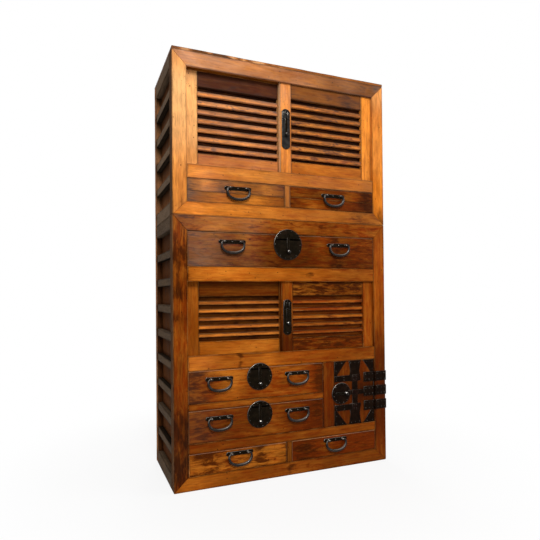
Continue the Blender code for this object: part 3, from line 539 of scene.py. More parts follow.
CASE_WOOD = wood(
    "case_lacquer", gloss=0.36, sheen=0.024,
    pale=(0.82, 0.44, 0.17), light=(0.74, 0.245, 0.024), middle=(0.50, 0.125, 0.006), deep=(0.250, 0.036, 0.0010),
    dark=(0.082, 0.0165, 0.0009), black=(0.030, 0.007, 0.001), wear_and_highlight=(0.62, 0.25, 0.060),
)
SIDE_WOOD = wood(
    "side_stain", gloss=0.62, sheen=0.006,
    pale=(0.160, 0.105, 0.065), light=(0.118, 0.060, 0.028), middle=(0.078, 0.034, 0.013),
    deep=(0.060, 0.020, 0.006), dark=(0.024, 0.009, 0.004), black=(0.010, 0.005, 0.003), wear_and_highlight=(0.17, 0.10, 0.05),
)
BARE_WOOD = wood(
    "bare_softwood", gloss=0.70, sheen=0.20,
    pale=(0.60, 0.42, 0.24), light=(0.50, 0.315, 0.150), middle=(0.38, 0.215, 0.090), deep=(0.23, 0.110, 0.042),
    dark=(0.110, 0.054, 0.025), black=(0.045, 0.022, 0.010), wear_and_highlight=(0.56, 0.37, 0.19),
)
PLATE_IRON = iron("plate_iron", (0.0044, 0.0028, 0.0011), (0.0090, 0.0058, 0.0026), 0.42)
DOOR_IRON = iron("door_plate_iron", (0.0120, 0.0112, 0.0102), (0.0250, 0.0232, 0.0212), 0.38, sheen=0.045, rusty=0.2)
SAFE_IRON = iron("safe_iron", (0.0044, 0.0018, 0.0007), (0.0082, 0.0034, 0.0014), 0.45)
BROWN_IRON = iron("brown_iron", (0.0066, 0.0022, 0.0012), (0.0130, 0.0046, 0.0026), 0.45, rusty=0.7)
# Iron with a painted highlight where it faces the light: the lighter iron of worn edges, the bails and the knobs
LIT_WORN_IRON = iron(
    "rubbed_iron", (0.026, 0.023, 0.020), (0.056, 0.050, 0.044), 0.30,
    metallic=1.0, sheen=0.5, relief=0.05, rusty=0.3, wear_and_highlight=(0.20, 0.18, 0.155),
)
BAIL_IRON = iron(
    "bail_iron", (0.0075, 0.0042, 0.0026), (0.0150, 0.0088, 0.0056), 0.17,
    sheen=0.18, relief=0.015, rusty=0.15, wear_and_highlight=(0.135, 0.115, 0.098), rub=(0.68, 0.94),
)
STUD_IRON = iron(
    "stud_iron", (0.042, 0.038, 0.033), (0.090, 0.083, 0.073), 0.24, metallic=1.0, sheen=0.5, relief=0.02, rusty=0.1
)
KNOB_IRON = iron(
    "knob_iron", (0.014, 0.013, 0.011), (0.030, 0.027, 0.024), 0.17,
    metallic=1.0, sheen=0.5, relief=0.03, rusty=0.1, wear_and_highlight=(0.46, 0.43, 0.39), rub=(0.78, 0.97),
)
# Black iron for the strips of painted shadow under the lock housings
SHADOW_STRIP_IRON = iron(
    "painted_shadow_strip", (0.0006, 0.0005, 0.0004), (0.0010, 0.0009, 0.0008), 0.80, sheen=0.0, relief=0.10, rusty=0.0
)

# The tone of each board in hundredths (shade, redness, stain, painted reflection), and then its changes along the
# board: place along the grain from the middle and spread, in centimetres, and changes of the tone in hundredths.
# Numbers left out are nought. A redness below nought is paler lacquer; on the upper boards, most of all on the left,
# the paler lacquer and the reflection are a painted sheen of light.
TONES = {
    "upper_left_stile": [
        (98, -48), (20, 16, -12, -35), (-20, 15, -2, 24), (-28, 4, 0, 10, 30), (27, 6, -5, 36, 0, 2),
        (-2, 9, 11, -8), (-26, 4, -26, 0, 10, 1),
    ],
    "upper_right_stile": [(114, -21), (20, 10, 0, 0, 10), (26, 6, 0, -25), (-20, 10, 0, 28), (-29, 6, -50, 20, 55)],
    "upper_top_rail": [
        (58, 14, 2, 9), (34, 16, -26, 10, 16), (10, 5, 0, 0, 14), (-30, 12, 0, 0, 0, 8), (-14, 6, 8, 4),
        (19, 8, -14, 14, 10, -4), (-40, 3, 15, 0, 0, 8), (37, 6, -8, 14, 10, -5), (43, 2.5, -22, 5, 5),
    ],
    "top_board": [(42, 30, 30, 3), (-30, 16, -16, 0, 25), (20, 22, 22, -20, -40)],
    "upper_sill": [(76, 4, 2, 3), (-33, 8, 22, -10, 0, 3), (-8, 7, -17, 5), (39, 6, -20, 0, 5), (20, 20, 0, 40)],
    "upper_post": [(50, 30, 2, 3)],
    "upper_bottom_rail": [
        (80, 20, 4, 1), (-41, 3, 0, 0, 30), (33, 8, 0, 0, 34), (-20, 10, 0, -20), (-38, 9, 32, -15, 0, 2),
        (5, 14, -13, 30), (36, 14, -36, 22, 5),
    ],
    "lower_left_stile": [
        (56, 74, 6), (-36, 16, -27, 0, 62, 0.4), (36, 10, -5, 5, 42), (23, 6, 0, 0, 40), (47, 6, 6, -10, 25, 1),
        (30, 3, 6, -20, -10), (3, 6, 10, -15), (35, 2.5, -8, 0, 25), (12.5, 1.8, -12, 10, 40),
        (17.2, 1.5, 8, -10, -30), (21.2, 1.5, -10, 5, 20), (-35, 1.5, 10, 0, -25), (-24, 4, -6, 0, 20),
    ],
    "lower_right_stile": [
        (61, 62, 4), (28, 12, 22, 5, -4), (-8, 11, -26, 14), (-30, 18, -30, 20), (-20, 3.5, -12, 10, 35),
    ],
    "lower_top_rail": [
        (52, 62, 8), (-42, 5, -10, 0, 45, 4), (-29, 6, 2, -45, -25, 5), (-16, 6, 2, -30, 28, 5), (2, 6, 0, 0, 30),
        (11, 4, -4, 0, 6), (34, 12, 6, 5, 10),
    ],
    "lower_head_rail": [
        (68, 54, 2), (-42, 3, -10, 0, 60), (9, 1.5, 0, 0, 65), (-24, 20, 19, -8), (30, 14, -20, 5, 5),
    ],
    "lower_sill": [
        (70, 52, 4), (-20, 1.5, 0, 0, 55), (5, 1.2, 0, 0, 45), (-36, 7, 22, -10, 0, 1), (-8, 3, 20, -10),
        (36, 12, -20, 10, 5), (8, 7, 11, 10),
    ],
    "lower_shelf_rail": [(52, 64, 6)],
    "lock_rail": [(54, 64, 6)],
    "safe_post": [(40, 84, 10), (-10, 4, 0, 0, 30), (5, 3, 4, 0, 20)],
    "lower_post": [(29, 60, 5)],
    "bottom_rail": [
        (60, 54, 8), (-35, 6, 0, 0, 20), (0, 2, 0, 0, 40), (10, 3, 0, 0, 20), (-40, 6, 12, -10),
        (25, 22, -17, 12, 5),
    ],
    "upper_left_drawer": [
        (42, 36, 10, 2.5), (-21, 3.5, -18, -10, 42, 5), (-12, 3.2, 28, -20, -15, 6), (-6, 3, -8, 0, 30, 5),
        (7, 3, -8, 0, 10), (12, 2, 10, -10, -10), (20, 4, -12, 20, 15),
    ],
    "upper_left_drawer_low": [
        (53, 36, 6, 1), (-20, 6, -19, -12, 40, 6), (-7.5, 4, 12, -10, -5, 2), (8, 5, 14, -20, -25),
        (21, 3, -15, 20, 20),
    ],
    "upper_right_drawer": [
        (38, 74, 14), (16, 4, -2, 0, 45), (-8, 3, -10, 0, 15), (-17, 4, 6, -10), (9, 3, 16, -20, -30),
    ],
    "upper_right_drawer_low": [(42, 78, 12), (16, 7, -8, 0, 45), (-19, 3, -6, 5, 20), (-8, 5, 22, -10, -25)],
    "long_drawer": [
        (33, 72, 12), (-34, 10, 0, -34, 14, 7), (-16, 5, 4, -20, 0, 2), (-5, 8, -2, 0, 16), (23, 3.5, 0, 10, 36),
        (34, 8, 13, 10, 20), (15.5, 3, 13, 0, -15),
    ],
    "lock_drawer_1": [(64, 70, 4), (-26, 7, -12, 0, 62, 1.2), (27, 5, -3, 40, 66), (-12, 5, 10, -30, -10)],
    "lock_drawer_2": [(46, 70, 4), (-24, 8, 2, -6, 30, 1.2), (26, 7, 3, 40, 46), (6, 6, 8, -15, -5)],
    "bottom_left_drawer": [
        (63, 50, 26), (8, 3, -4, 0, 40), (20, 2, -5, 0, 45), (-15, 7, 0, 0, 18), (14.5, 2, 6, -10, -20),
    ],
    "bottom_right_drawer": [(48, 100, 14), (-13, 5, 0, 0, 55), (-3, 4, 10, -30, -20)],
    "safe_door": [(36, 72, 10)],
    "inside": [(60, 35, 8)],
    "box": [(100, 20)],
    "box_floor": [(92, 30, 5)],
    "back": [(85, 35, 12)],
    "side_stile": [(160, 30, 30)],
    "side_post": [(500, 55, 10)],
    "upper_side_post_edge": [(360, 40, 10)],
    "upper_side_rail": [(120, -100, 5)],
    "upper_side_panel": [(300, 70, 15)],
    "upper_side_batten": [(125, -100)],
    "lower_side_post_edge": [(130, 100, 20)],
    "lower_side_rail": [(76, -100, 5)],
    "lower_side_panel": [(210, 90, 15)],
    "lower_side_batten": [(74, -90)],
    # Painted shade: the upper doors' top rails and the top of the left door's stiles are dark with the shadow of the
    # head rail, and the upper panels nearly black with the shade between the slats
    "upper_left_door_stile": [(102, -64), (16, 3, -42, 0, 0, 4), (-15, 5, -20, 22)],
    "upper_left_door_top": [(19, 75, 25, 2)],
    "upper_left_door_bottom": [(88, 45, 12, 7)],
    "upper_left_door_panel": [(10, 70, 60)],
    "upper_left_door_slat": [(105, -6, 8, 11)],
    "upper_right_door_stile": [(100, -12, 0, 1.2)],
    "upper_right_door_meeting": [(94, -5, 2, 3), (13, 6, -12, 12, 4, 10), (-12, 6, 2, 0, 0, 2)],
    "upper_right_door_top": [(30, 34, 30, 3)],
    "upper_right_door_bottom": [(82, 40, 12, 1.5)],
    "upper_right_door_panel": [(10, 70, 60)],
    "upper_right_door_slat": [(90, 12, 12, 4.5)],
    "lower_left_door_stile": [(56, 52, 4)],
    "lower_left_door_top": [(30, 60, 10)],
    "lower_left_door_bottom": [(78, 38)],
    "lower_left_door_panel": [(17, 50, 38)],
    "lower_left_door_slat": [(120, 24, 0, 2)],
    "lower_right_door_stile": [(68, 68, 5)],
    "lower_right_door_meeting": [(54, 58, 6), (-11, 6, -28, 20, 6), (10, 5, 5)],
    "lower_right_door_top": [(42, 60, 50)],
    "lower_right_door_bottom": [(45, 88, 40)],
    "lower_right_door_panel": [(34, 75, 30)],
    "lower_right_door_slat": [(102, 50, 10, 0.6)],
}
# Strength of the figure, in tenths, of the boards that have more of it
PLAIN_FIGURE = 4.2
FIGURES = {
    "lower_left_stile": 6, "lower_top_rail": 8, "upper_left_drawer": 8, "upper_left_drawer_low": 7,
    "upper_right_drawer": 8, "upper_right_drawer_low": 7, "long_drawer": 9, "lock_drawer_1": 6, "lock_drawer_2": 6,
    "bottom_left_drawer": 9, "bottom_right_drawer": 7, "upper_left_door_slat": 10, "upper_right_door_slat": 12,
    "lower_left_door_slat": 6, "lower_right_door_slat": 7, "lower_right_door_top": 12, "lower_right_door_bottom": 12,
}
# Painted light and shade: how much lighter than its middle a board is at its upper edge, and darker at its lower
# edge, as a share
PAINTED_LIGHT_FALLS = {"long_drawer": 0.24}


# Case

# Painted shade in a side's recess under the batten above: where in the recess it begins, and how dark it grows
RECESS_SHADE_START = 0.35
RECESS_SHADE = {"upper": 0.88, "lower": 0.70}
# Shade of the rear post level with a batten
POST_BAND = 0.4
# Painted shade of the undersides of a side's battens and top rail, and how far past the recess they are dark
UNDERSIDE_SHADE = 0.15
UNDERSIDE_SHADE_END = 1.2
# Pale chips: the depth of the lane that holds them, their own depth, number and rarity, and their tone
CHIP_LANE = 0.006
CHIP_DEPTH = 0.004
CHIPS_PER_METRE = 45.0
CHIP_RARITY = 0.12
CHIP_TONE = (0.80, -0.50, 0.0, 0.08)
POST_X = span(0.0, DRAWER_POST)


def mitre_share(x):
    """How far across a stile a point lies, from its outer edge (0) to its inner edge (1)."""
    return (HALF - abs(x)) / STILE_WIDTH


def stile(piece, hand, z, bottom_rail, top_rail, name):
    """A front stile, mitred at both ends in front and square behind."""
    x = across(hand, 0.0, STILE_WIDTH)

    def foot(point):
        return z[0] + bottom_rail * mitre_share(point[0]) + JOINT

    def head(point):
        return z[1] - top_rail * mitre_share(point[0]) - JOINT

    def outside(point, mark):
        return toned("side_stile", 0.0) if abs(point.x) > HALF - EDGE / 4 else mark

    board(piece, x, RAIL_Y, z, Z, name, ends=(foot, head), paint=outside, outer=True)
    board(piece, x, (RAIL_Y[1], FRONT + STILE_DEPTH), z, Z, name, paint=outside, outer=True)


def mitred_rail(piece, outer, inner, y, name):
    """A front rail whose ends are mitred from its outer to its inner edge."""

    def reach(point):
        share = (point[1] - outer) / (inner - outer)
        return HALF - JOINT - STILE_WIDTH * share

    ends = (lambda point: -reach(point), reach)
    board(piece, (-HALF, HALF), y, ordered(outer, inner), X, name, ends=ends)


def case_side(level, hand, z, bottom_rail, top_rail):
    """A stile of the front, and the dark side frame with its battens and panel."""
    name = f"{level}_{'left' if hand < 0 else 'right'}"
    front = Piece()
    stile(front, hand, z, bottom_rail, top_rail, f"{name}_stile")
    front.make(f"{name}_stile", "case", "case_wood", [CASE_WOOD, SIDE_WOOD], [f"{name}_side"])

    side = Piece()
    bottom, top = z
    post_front = REAR - REAR_POST
    middle_y = (FRONT + STILE_DEPTH + JOINT, post_front - JOINT)
    thickness = across(hand, 0.0, SIDE_THICKNESS)
    panel_x = across(hand, SIDE_THICKNESS - SIDE_PANEL, SIDE_THICKNESS)
    batten_x = across(hand, SIDE_BATTEN_INSET, SIDE_THICKNESS - SIDE_PANEL)
    battens = SIDE_BATTENS[level]
    space = (top - bottom - 2 * SIDE_RAIL - battens * SIDE_BATTEN) / (battens + 1)

    def rise(height):
        """A height as a share of the recess that it lies in; past 1 it is level with the batten above."""
        return (height - bottom - SIDE_RAIL) % (space + SIDE_BATTEN) / space

    # Painted shade: each recess darker towards the batten above, in its shadow
    def sooted(point, mark):
        share = min(max((rise(point.z) - RECESS_SHADE_START) / (1.0 - RECESS_SHADE_START), 0.0), 1.0)
        return shaded(mark, 1.0 - RECESS_SHADE[level] * share)

    def post(point, mark):
        # The post's inner face takes the painted shade of the recesses; its outer face is darker level with each
        # batten
        if abs(point.x) < HALF - EDGE / 4:
            return sooted(point, toned(f"{level}_side_post_edge", 0.0))
        return shaded(mark, POST_BAND) if rise(point.z) > 1.0 else mark

    def underside(point, mark):
        """Painted shade on the underside, away from the outer face."""
        hidden = abs(point.x) < HALF - SIDE_BATTEN_INSET - EDGE / 4
        return shaded(mark, UNDERSIDE_SHADE) if hidden and rise(point.z) < UNDERSIDE_SHADE_END else mark

    board(side, thickness, (post_front, REAR), z, Z, "side_post", paint=post)
    board(side, thickness, middle_y, (bottom, bottom + SIDE_RAIL), Y, f"{level}_side_rail")
    board(side, thickness, middle_y, (top - SIDE_RAIL, top), Y, f"{level}_side_rail", paint=underside)
    halves = (middle_y[0], sum(middle_y) / 2, middle_y[1])
    for y in zip(halves, halves[1:]):
        board(side, panel_x, y, (bottom + JOINT, top - JOINT), Z, f"{level}_side_panel", paint=sooted)
    for index in range(battens):
        low = bottom + SIDE_RAIL + space + index * (space + SIDE_BATTEN)
        board(side, batten_x, middle_y, (low, low + SIDE_BATTEN), Y, f"{level}_side_batten", paint=underside)
    side.make(f"{name}_side_frame", "case", "side_wood", [SIDE_WOOD])


def back_boards(level, z):
    back = Piece()
    low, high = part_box(f"{level}_back")
    width = (high.x - low.x) / BACK_BOARDS
    for index in range(BACK_BOARDS):
        x = (low.x + index * width, low.x + (index + 1) * width - JOINT)
        board(back, x, (low.y, high.y), z, Z, "back", edge=SOFT_EDGE)
    back.make(f"{level}_back_boards", "case", "back_wood", [BARE_WOOD], [f"{level}_back"])


def shelf(piece, top, right=None):
    """A dust board: between the stiles in front, out to the side walls behind them."""
    for x, y in ((BETWEEN_STILES, (RAIL_Y[1], BOARD_Y[0])), (BETWEEN_WALLS, BOARD_Y)):
        board(piece, (x[0], right or x[1]), y, (top - BOARD, top), X, "inside")


def guides(piece, level, hands=(-1, 1)):
    """Strips beside a drawer, from the side walls to the line of the stiles."""
    for hand in hands:
        x = ordered(hand * INNER, hand * (WALL - GAP))
        board(piece, x, BOARD_Y, (level, level + GUIDE_HEIGHT), Y, "inside")


def track_lips():
    """The Y spans of the strips that stand in front of, between and behind the two door grooves."""
    front_groove = FRONT + DOOR_SETBACK
    rear_groove = front_groove + DOOR_THICKNESS + DOOR_SPACING
    marks = [FRONT]
    for groove in (front_groove, rear_groove):
        marks += [groove - GROOVE_PLAY, groove + DOOR_THICKNESS + GROOVE_PLAY]
    marks.append(FRONT + TRACK_DEPTH)
    return list(zip(marks[::2], marks[1::2]))


FRONT_LIP, *REAR_LIPS = track_lips()


def track(piece, solid_z, lip_z, name):
    """The part of a rail behind its front lip, with two grooves for the doors."""
    board(piece, BETWEEN_STILES, (FRONT_LIP[1], FRONT + TRACK_DEPTH), solid_z, X, name)
    for lip in REAR_LIPS:
        board(piece, BETWEEN_STILES, lip, lip_z, X, name, edge=EDGE / 2)


def sill(piece, z, name):
    """A front rail that carries the doors in two shallow grooves, and the shelf behind it."""
    floor = z[1] - SILL_GROOVE
    board(piece, BETWEEN_STILES, FRONT_LIP, z, X, name, seed="front")
    track(piece, (z[0], floor), (floor, z[1]), name)
    shelf(piece, z[1])


def chipped(point, mark):
    """Pale chips along the left of the top board's front edge."""
    near = point.x < 0.0 and point.y < FRONT + CHIP_DEPTH
    return CHIP_TONE if near and noise.noise(point * CHIPS_PER_METRE) > CHIP_RARITY else mark


def upper_top(piece):
    roof = UPPER_HEAD + HEAD_GROOVE
    mitred_rail(piece, UPPER_TOP, UPPER_HEAD, FRONT_LIP, "upper_top_rail")
    track(piece, (roof, UPPER_TOP), (UPPER_HEAD, roof), "inside")
    edges = (FRONT, *(FRONT + joint for joint in TOP_JOINTS), REAR)
    for near, far in zip(edges, edges[1:]):
        y, z = (near, far - JOINT), (UPPER_TOP, TOP)
        board(piece, (-HALF, HALF), y, z, X, "top_board", wear=TOP_WEAR, paint=chipped, lane=CHIP_LANE)


def upper_drawers(piece):
    low, high = UPPER_BAY_Z
    sill(piece, (high, UPPER_SILL), "upper_sill")
    board(piece, POST_X, (FRONT, BOARD_Y[1]), (low, high), Z, "upper_post")
    mitred_rail(piece, UPPER_BASE, low, RAIL_Y, "upper_bottom_rail")
    shelf(piece, low)
    guides(piece, low)


def lower_top(piece):
    mitred_rail(piece, LOWER_TOP, LONG_BAY_Z[1], RAIL_Y, "lower_top_rail")
    shelf(piece, LOWER_TOP)


def lower_head(piece):
    z = (LOWER_HEAD, LONG_BAY_Z[0])
    roof = LOWER_HEAD + HEAD_GROOVE
    board(piece, BETWEEN_STILES, FRONT_LIP, z, X, "lower_head_rail")
    track(piece, (roof, z[1]), (z[0], roof), "inside")
    shelf(piece, z[1])
    guides(piece, z[1])


def lower_sill(piece):
    sill(piece, (LOCK_1_Z[1], LOWER_SILL), "lower_sill")


def lower_drawers(piece):
    """The rails and shelves of the small drawers, with the safe's post and partition."""
    shelf_level, bay_right = LOCK_2_Z[0], LOCK_BAY_X[1]
    post_z = (shelf_level, LOCK_1_Z[1])
    board(piece, BETWEEN_STILES, RAIL_Y, (BOTTOM_BAY_Z[1], shelf_level), X, "lower_shelf_rail")
    shelf(piece, shelf_level)
    guides(piece, shelf_level, (-1,))
    board(piece, (bay_right, SAFE_LEFT), RAIL_Y, post_z, Z, "safe_post")
    board(piece, (bay_right, bay_right + BOARD), (RAIL_Y[1], BOARD_Y[1]), post_z, Y, "inside")
    board(piece, (GAP - INNER, bay_right - JOINT), RAIL_Y, (LOCK_2_Z[1], LOCK_1_Z[0]), X, "lock_rail")
    shelf(piece, LOCK_1_Z[0], bay_right)
    guides(piece, LOCK_1_Z[0], (-1,))
    board(piece, POST_X, (FRONT, BOARD_Y[1]), BOTTOM_BAY_Z, Z, "lower_post")


def lower_bottom(piece):
    rail_top = BOTTOM_BAY_Z[0]
    runner_z = (BOTTOM_BOARD, rail_top)
    mitred_rail(piece, 0.0, rail_top, RAIL_Y, "bottom_rail")
    board(piece, BETWEEN_WALLS, BOARD_Y, (0.0, BOTTOM_BOARD), X, "inside")
    board(piece, (-RUNNER_WIDTH, RUNNER_WIDTH), (RAIL_Y[1], BOARD_Y[1]), runner_z, Y, "inside")
    for hand in (-1, 1):
        x = ordered(hand * (INNER - RUNNER_WIDTH), hand * (WALL - GAP))
        board(piece, x, BOARD_Y, runner_z, Y, "inside")
        guides(piece, rail_top, (hand,))


FRAMES = {
    "upper_top_frame": upper_top,
    "upper_drawer_frame": upper_drawers,
    "lower_top_frame": lower_top,
    "lower_head_shelf": lower_head,
    "lower_sill_shelf": lower_sill,
    "lower_drawer_frame": lower_drawers,
    "lower_bottom_frame": lower_bottom,
}


def case_pieces():
    upper_z = (UPPER_BASE, UPPER_TOP - GAP)
    lower_z = (0.0, LOWER_TOP)
    for hand in (-1, 1):
        case_side("upper", hand, upper_z, UPPER_BAY_Z[0] - UPPER_BASE, UPPER_TOP - GAP - UPPER_HEAD)
        case_side("lower", hand, lower_z, BOTTOM_BAY_Z[0], LOWER_TOP - LONG_BAY_Z[1])
    back_boards("upper", upper_z)
    back_boards("lower", lower_z)
    for node, fill in FRAMES.items():
        piece = Piece()
        fill(piece)
        piece.make(f"{node.rsplit('_', 1)[0]}_boards", "case", "case_wood", [CASE_WOOD], [node])


# Doors

# The painted light on the upper right door's left edge, which faces the light: what its shade is multiplied by, and
# changes of redness and painted reflection
DOOR_EDGE_LIGHT = (1.35, -0.9, 0.14)
# Random changes of a slat's shade, redness and stain, its dark place's stain and spread, and the painted shade that
# darkens it towards its top, in the shadow of the slat above
SLAT_CHANGES = ((0.84, 1.10), (-0.15, 0.25), (-0.1, 0.2))
SLAT_STAIN = (0.22, 0.06)
SLAT_PAINTED_SHADE = (1.16, 0.86)


def slatted_door(level, hand):
    """Stiles, rails and slats in front of a thin backing board."""
    name = f"{level}_{hand}_door"
    low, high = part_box(name)
    piece = Piece()
    inside = (low.x + DOOR_STILE + JOINT, high.x - DOOR_STILE - JOINT)
    bottom, top = low.z + DOOR_BOTTOM_RAIL, high.z - DOOR_TOP_RAIL
    rail_y = (low.y + DOOR_RAIL_INSET, high.y)
    panel_y = (high.y - DOOR_PANEL, high.y)
    slat_y = (low.y + SLAT_INSET, panel_y[0])

    def pale_edge(point, mark):
        """Painted light on the upper right door's left edge, which faces the light on the left."""
        if name == "upper_right_door" and point.x < low.x + EDGE / 2:
            return (mark[0] * DOOR_EDGE_LIGHT[0], mark[1] + DOOR_EDGE_LIGHT[1], mark[2], mark[3] + DOOR_EDGE_LIGHT[2])
        return mark

    meeting = "meeting" if hand == "right" else "stile"
    for x, part in (((low.x, low.x + DOOR_STILE), meeting), ((high.x - DOOR_STILE, high.x), "stile")):
        board(piece, x, (low.y, high.y), (low.z, high.z), Z, f"{name}_{part}", paint=pale_edge)
    board(piece, inside, rail_y, (low.z, bottom), X, f"{name}_bottom")
    board(piece, inside, rail_y, (top, high.z), X, f"{name}_top")
    board(piece, inside, panel_y, (bottom, top), X, f"{name}_panel", edge=EDGE / 2)
    count, height = SLATS[level]
    space = (top - bottom - count * height) / (count + 1)
    draw = random.Random(name)
    for index in range(count):
        base = bottom + space + index * (space + height)
        change = Vector([draw.uniform(*limits) for limits in SLAT_CHANGES])
        dark_at = draw.uniform(*inside)

        def slat_tone(point, mark):
            share = (point.z - base) / height
            stain = SLAT_STAIN[0] * math.exp(-(((point.x - dark_at) / SLAT_STAIN[1]) ** 2))
            # Painted shade: darker towards the top, where the slat above shades it
            shade = mark[0] * change.x * (SLAT_PAINTED_SHADE[0] - SLAT_PAINTED_SHADE[1] * share)
            return (shade, mark[1] + change.y, mark[2] + change.z + stain, mark[3])

        slat_z = (base, base + height * SLAT_SHOWN[level])
        board(piece, inside, slat_y, slat_z, X, f"{name}_slat", edge=SOFT_EDGE, paint=slat_tone)
    piece.make(f"{name}_boards", name, "door_wood", [CASE_WOOD], [name])


def doors():
    for level in ("upper", "lower"):
        for hand in ("left", "right"):
            slatted_door(level, hand)


# Drawers

# Share of the front's height at which the two planks of a small upper drawer meet
PLANKED = {"upper_left_drawer": 0.47, "upper_right_drawer": 0.49}
PLANK_GAP = 0.0002
# The painted highlight on a front's eased top edge and ends: what its shade is multiplied by, its loss of redness
# and stain, and its painted reflection
EDGE_HIGHLIGHT = (1.8, 0.5, 0.3)
TOP_EDGE_REFLECTION = 0.15
END_EDGE_REFLECTION = 0.08


def drawer(name):
    """A lacquered front on a bare box of thin boards."""
    low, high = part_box(name)
    front_rear = low.y + DRAWER_FRONT
    x, front_y, box_y = (low.x, high.x), (low.y, front_rear), (front_rear, high.y)
    top = high.z - DRAWER_LOWERED

    def rubbed(point, mark):
        """Painted highlight on the eased top edge and on the ends, paler and with a painted reflection."""
        at_top = point.z > top - DRAWER_EDGE / 2
        if not at_top and min(point.x - low.x, high.x - point.x) >= DRAWER_EDGE / 2:
            return mark
        paler, redness, stain = EDGE_HIGHLIGHT
        reflection = TOP_EDGE_REFLECTION if at_top else END_EDGE_REFLECTION
        return (mark[0] * paler, mark[1] - redness, mark[2] - stain, reflection)

    front = Piece()
    joint = low.z + PLANKED.get(name, 0.0) * (top - low.z)
    edge = EDGE if name in PLANKED else DRAWER_EDGE
    if name in PLANKED:
        board(front, x, front_y, (low.z, joint - PLANK_GAP), X, f"{name}_low", edge=edge, paint=rubbed)
    board(front, x, front_y, (joint, top), X, name, edge=edge, paint=rubbed)
    front.make(f"{name}_front", name, "drawer_wood", [CASE_WOOD], [name])
    box = Piece()
    inside = (low.x + DRAWER_SIDE, high.x - DRAWER_SIDE)
    floor = low.z + DRAWER_BOTTOM
    wall_z = (floor, high.z - DRAWER_SIDE_DROP)
    for wall in ((low.x, inside[0]), (inside[1], high.x)):
        board(box, wall, box_y, wall_z, Y, "box")
    board(box, inside, (high.y - DRAWER_SIDE, high.y), wall_z, X, "box")
    board(box, x, box_y, (low.z, floor), X, "box_floor")
    box.make(f"{name}_box", name, "back_wood", [BARE_WOOD])


def drawers():
    for name in frame["nodes"]:
        if name.endswith("_drawer") or name in ("lock_drawer_1", "lock_drawer_2"):
            drawer(name)


# Ironwork

RIVET_DOME = (0.0, 0.5, 1.0, 1.4)
RIVET_FLATNESS = 0.7
RIVET_ROOT = 0.0006
RIVET_SIDES = 10


def turn(piece, profile, centre, sides, axis=Y, rubbed=()):
    """A round form spun from (radius, reach) points: reach is to the front on Y, or up on Z.

    rubbed lists the bands between the profile's points that take the piece's second finish.
    """
    points = []
    for radius, reach in profile:
        for index in range(sides):
            angle = 2 * math.pi * index / sides
            first, second = radius * math.cos(angle), radius * math.sin(angle)
            offset = (first, -reach, second) if axis == Y else (first, second, reach)
            points.append(tuple(Vector(centre) + Vector(offset)))
    caps, strips = skin(len(profile), sides)
    bands = [int(ring in rubbed) for ring in range(len(profile) - 1) for _ in range(sides)]
    piece.add(points, strips + caps, finishes=bands + [0, 0])


def inset(outline, distance):
    """An anticlockwise outline drawn in by a distance."""
    count = len(outline)
    drawn = []
    for index in range(count):
        before, here, after = (Vector(outline[(index + step) % count]) for step in (-1, 0, 1))
        first, second = (here - before).normalized(), (after - here).normalized()
        normals = Vector((-first.y, first.x)), Vector((-second.y, second.x))
        drawn.append(tuple(here + (normals[0] + normals[1]) * distance / (1 + normals[0].dot(normals[1]))))
    return drawn


def plate(piece, outline, y, edge, rubbed=True, finish=0):
    """A flat plate with an anticlockwise outline in X and Z, its front edge eased and, as a rule, worn with a
    painted highlight.
    """
    front, back = y
    loops = [(outline, back), (outline, front + edge), (inset(outline, edge), front)]
    count = len(outline)
    points = [(x, level, z) for loop, level in loops for x, z in loop]
    caps, strips = skin(len(loops), count)
    finishes = [finish] * (2 + count) + [1 if rubbed else finish] * count
    piece.add(points, caps + strips, finishes=finishes)


def rectangle(x, z):
    return [(x[0], z[0]), (x[1], z[0]), (x[1], z[1]), (x[0], z[1])]


def bar(piece, x, z, y, edge, **options):
    """A rectangular plate."""
    plate(piece, rectangle(x, z), y, edge, **options)


def rivet(piece, x, y, z, radius):
    """A domed rivet head on a face at y."""
    dome = [(radius * math.cos(a), radius * RIVET_FLATNESS * math.sin(a)) for a in RIVET_DOME]
    turn(piece, [(radius, -RIVET_ROOT), *dome], (x, y, z), RIVET_SIDES)


def arc(centre, radius, start, stop, steps):
    angles = [start + (stop - start) * index / steps for index in range(steps + 1)]
    return [(centre[0] + radius * math.cos(a), centre[1] + radius * math.sin(a)) for a in angles]


def tube(piece, path, sides):
    """A round bar along (point, radius) pairs, which stay in one X and Z plane."""
    points = []
    for index, (here, radius) in enumerate(path):
        before = path[max(index - 1, 0)][0]
        after = path[min(index + 1, len(path) - 1)][0]
        sideways = (after - before).normalized().cross(Vector((0.0, 1.0, 0.0))).normalized()
        for side in range(sides):
            angle = 2 * math.pi * side / sides
            points.append(tuple(here + radius * (sideways * math.cos(angle) + Vector((0, math.sin(angle), 0)))))
    caps, strips = skin(len(path), sides)
    piece.add(points, strips + caps)


PULL_WIDTH = 0.108
PULL_HEIGHT = 0.0145
PULL_THICKNESS = 0.003
PULL_EDGE = 0.0009
PULL_SEGMENTS = 8
PULL_RIVET = 0.0026
EYE_SPACING = 0.064
EYE_RADIUS = 0.0046
EYE_SIDES = 16
# Shares of an eye's radius, with the distance past the bar's front or short of the eye's tip
EYE_FOOT = ((1.25, -0.001), (1.2, 0.0008), (0.86, 0.002))
EYE_TIP = ((1.0, 0.0065), (1.0, 0.003), (0.8, 0.001), (0.4, 0.0))
BAIL_WIDTH = 0.098
BAIL_DROP = 0.048
BAIL_RADIUS = 0.0056
BAIL_SIDE_RADIUS = 0.0047
BAIL_END_RADIUS = 0.0028
BAIL_BEND = 0.0072
BAIL_BEND_STEPS = 8
BAIL_STEPS = 36
BAIL_SIDES = 14
BAIL_SHOULDER = 0.0125
BAIL_STUB = 0.006
BAIL_SQUARENESS = 0.90


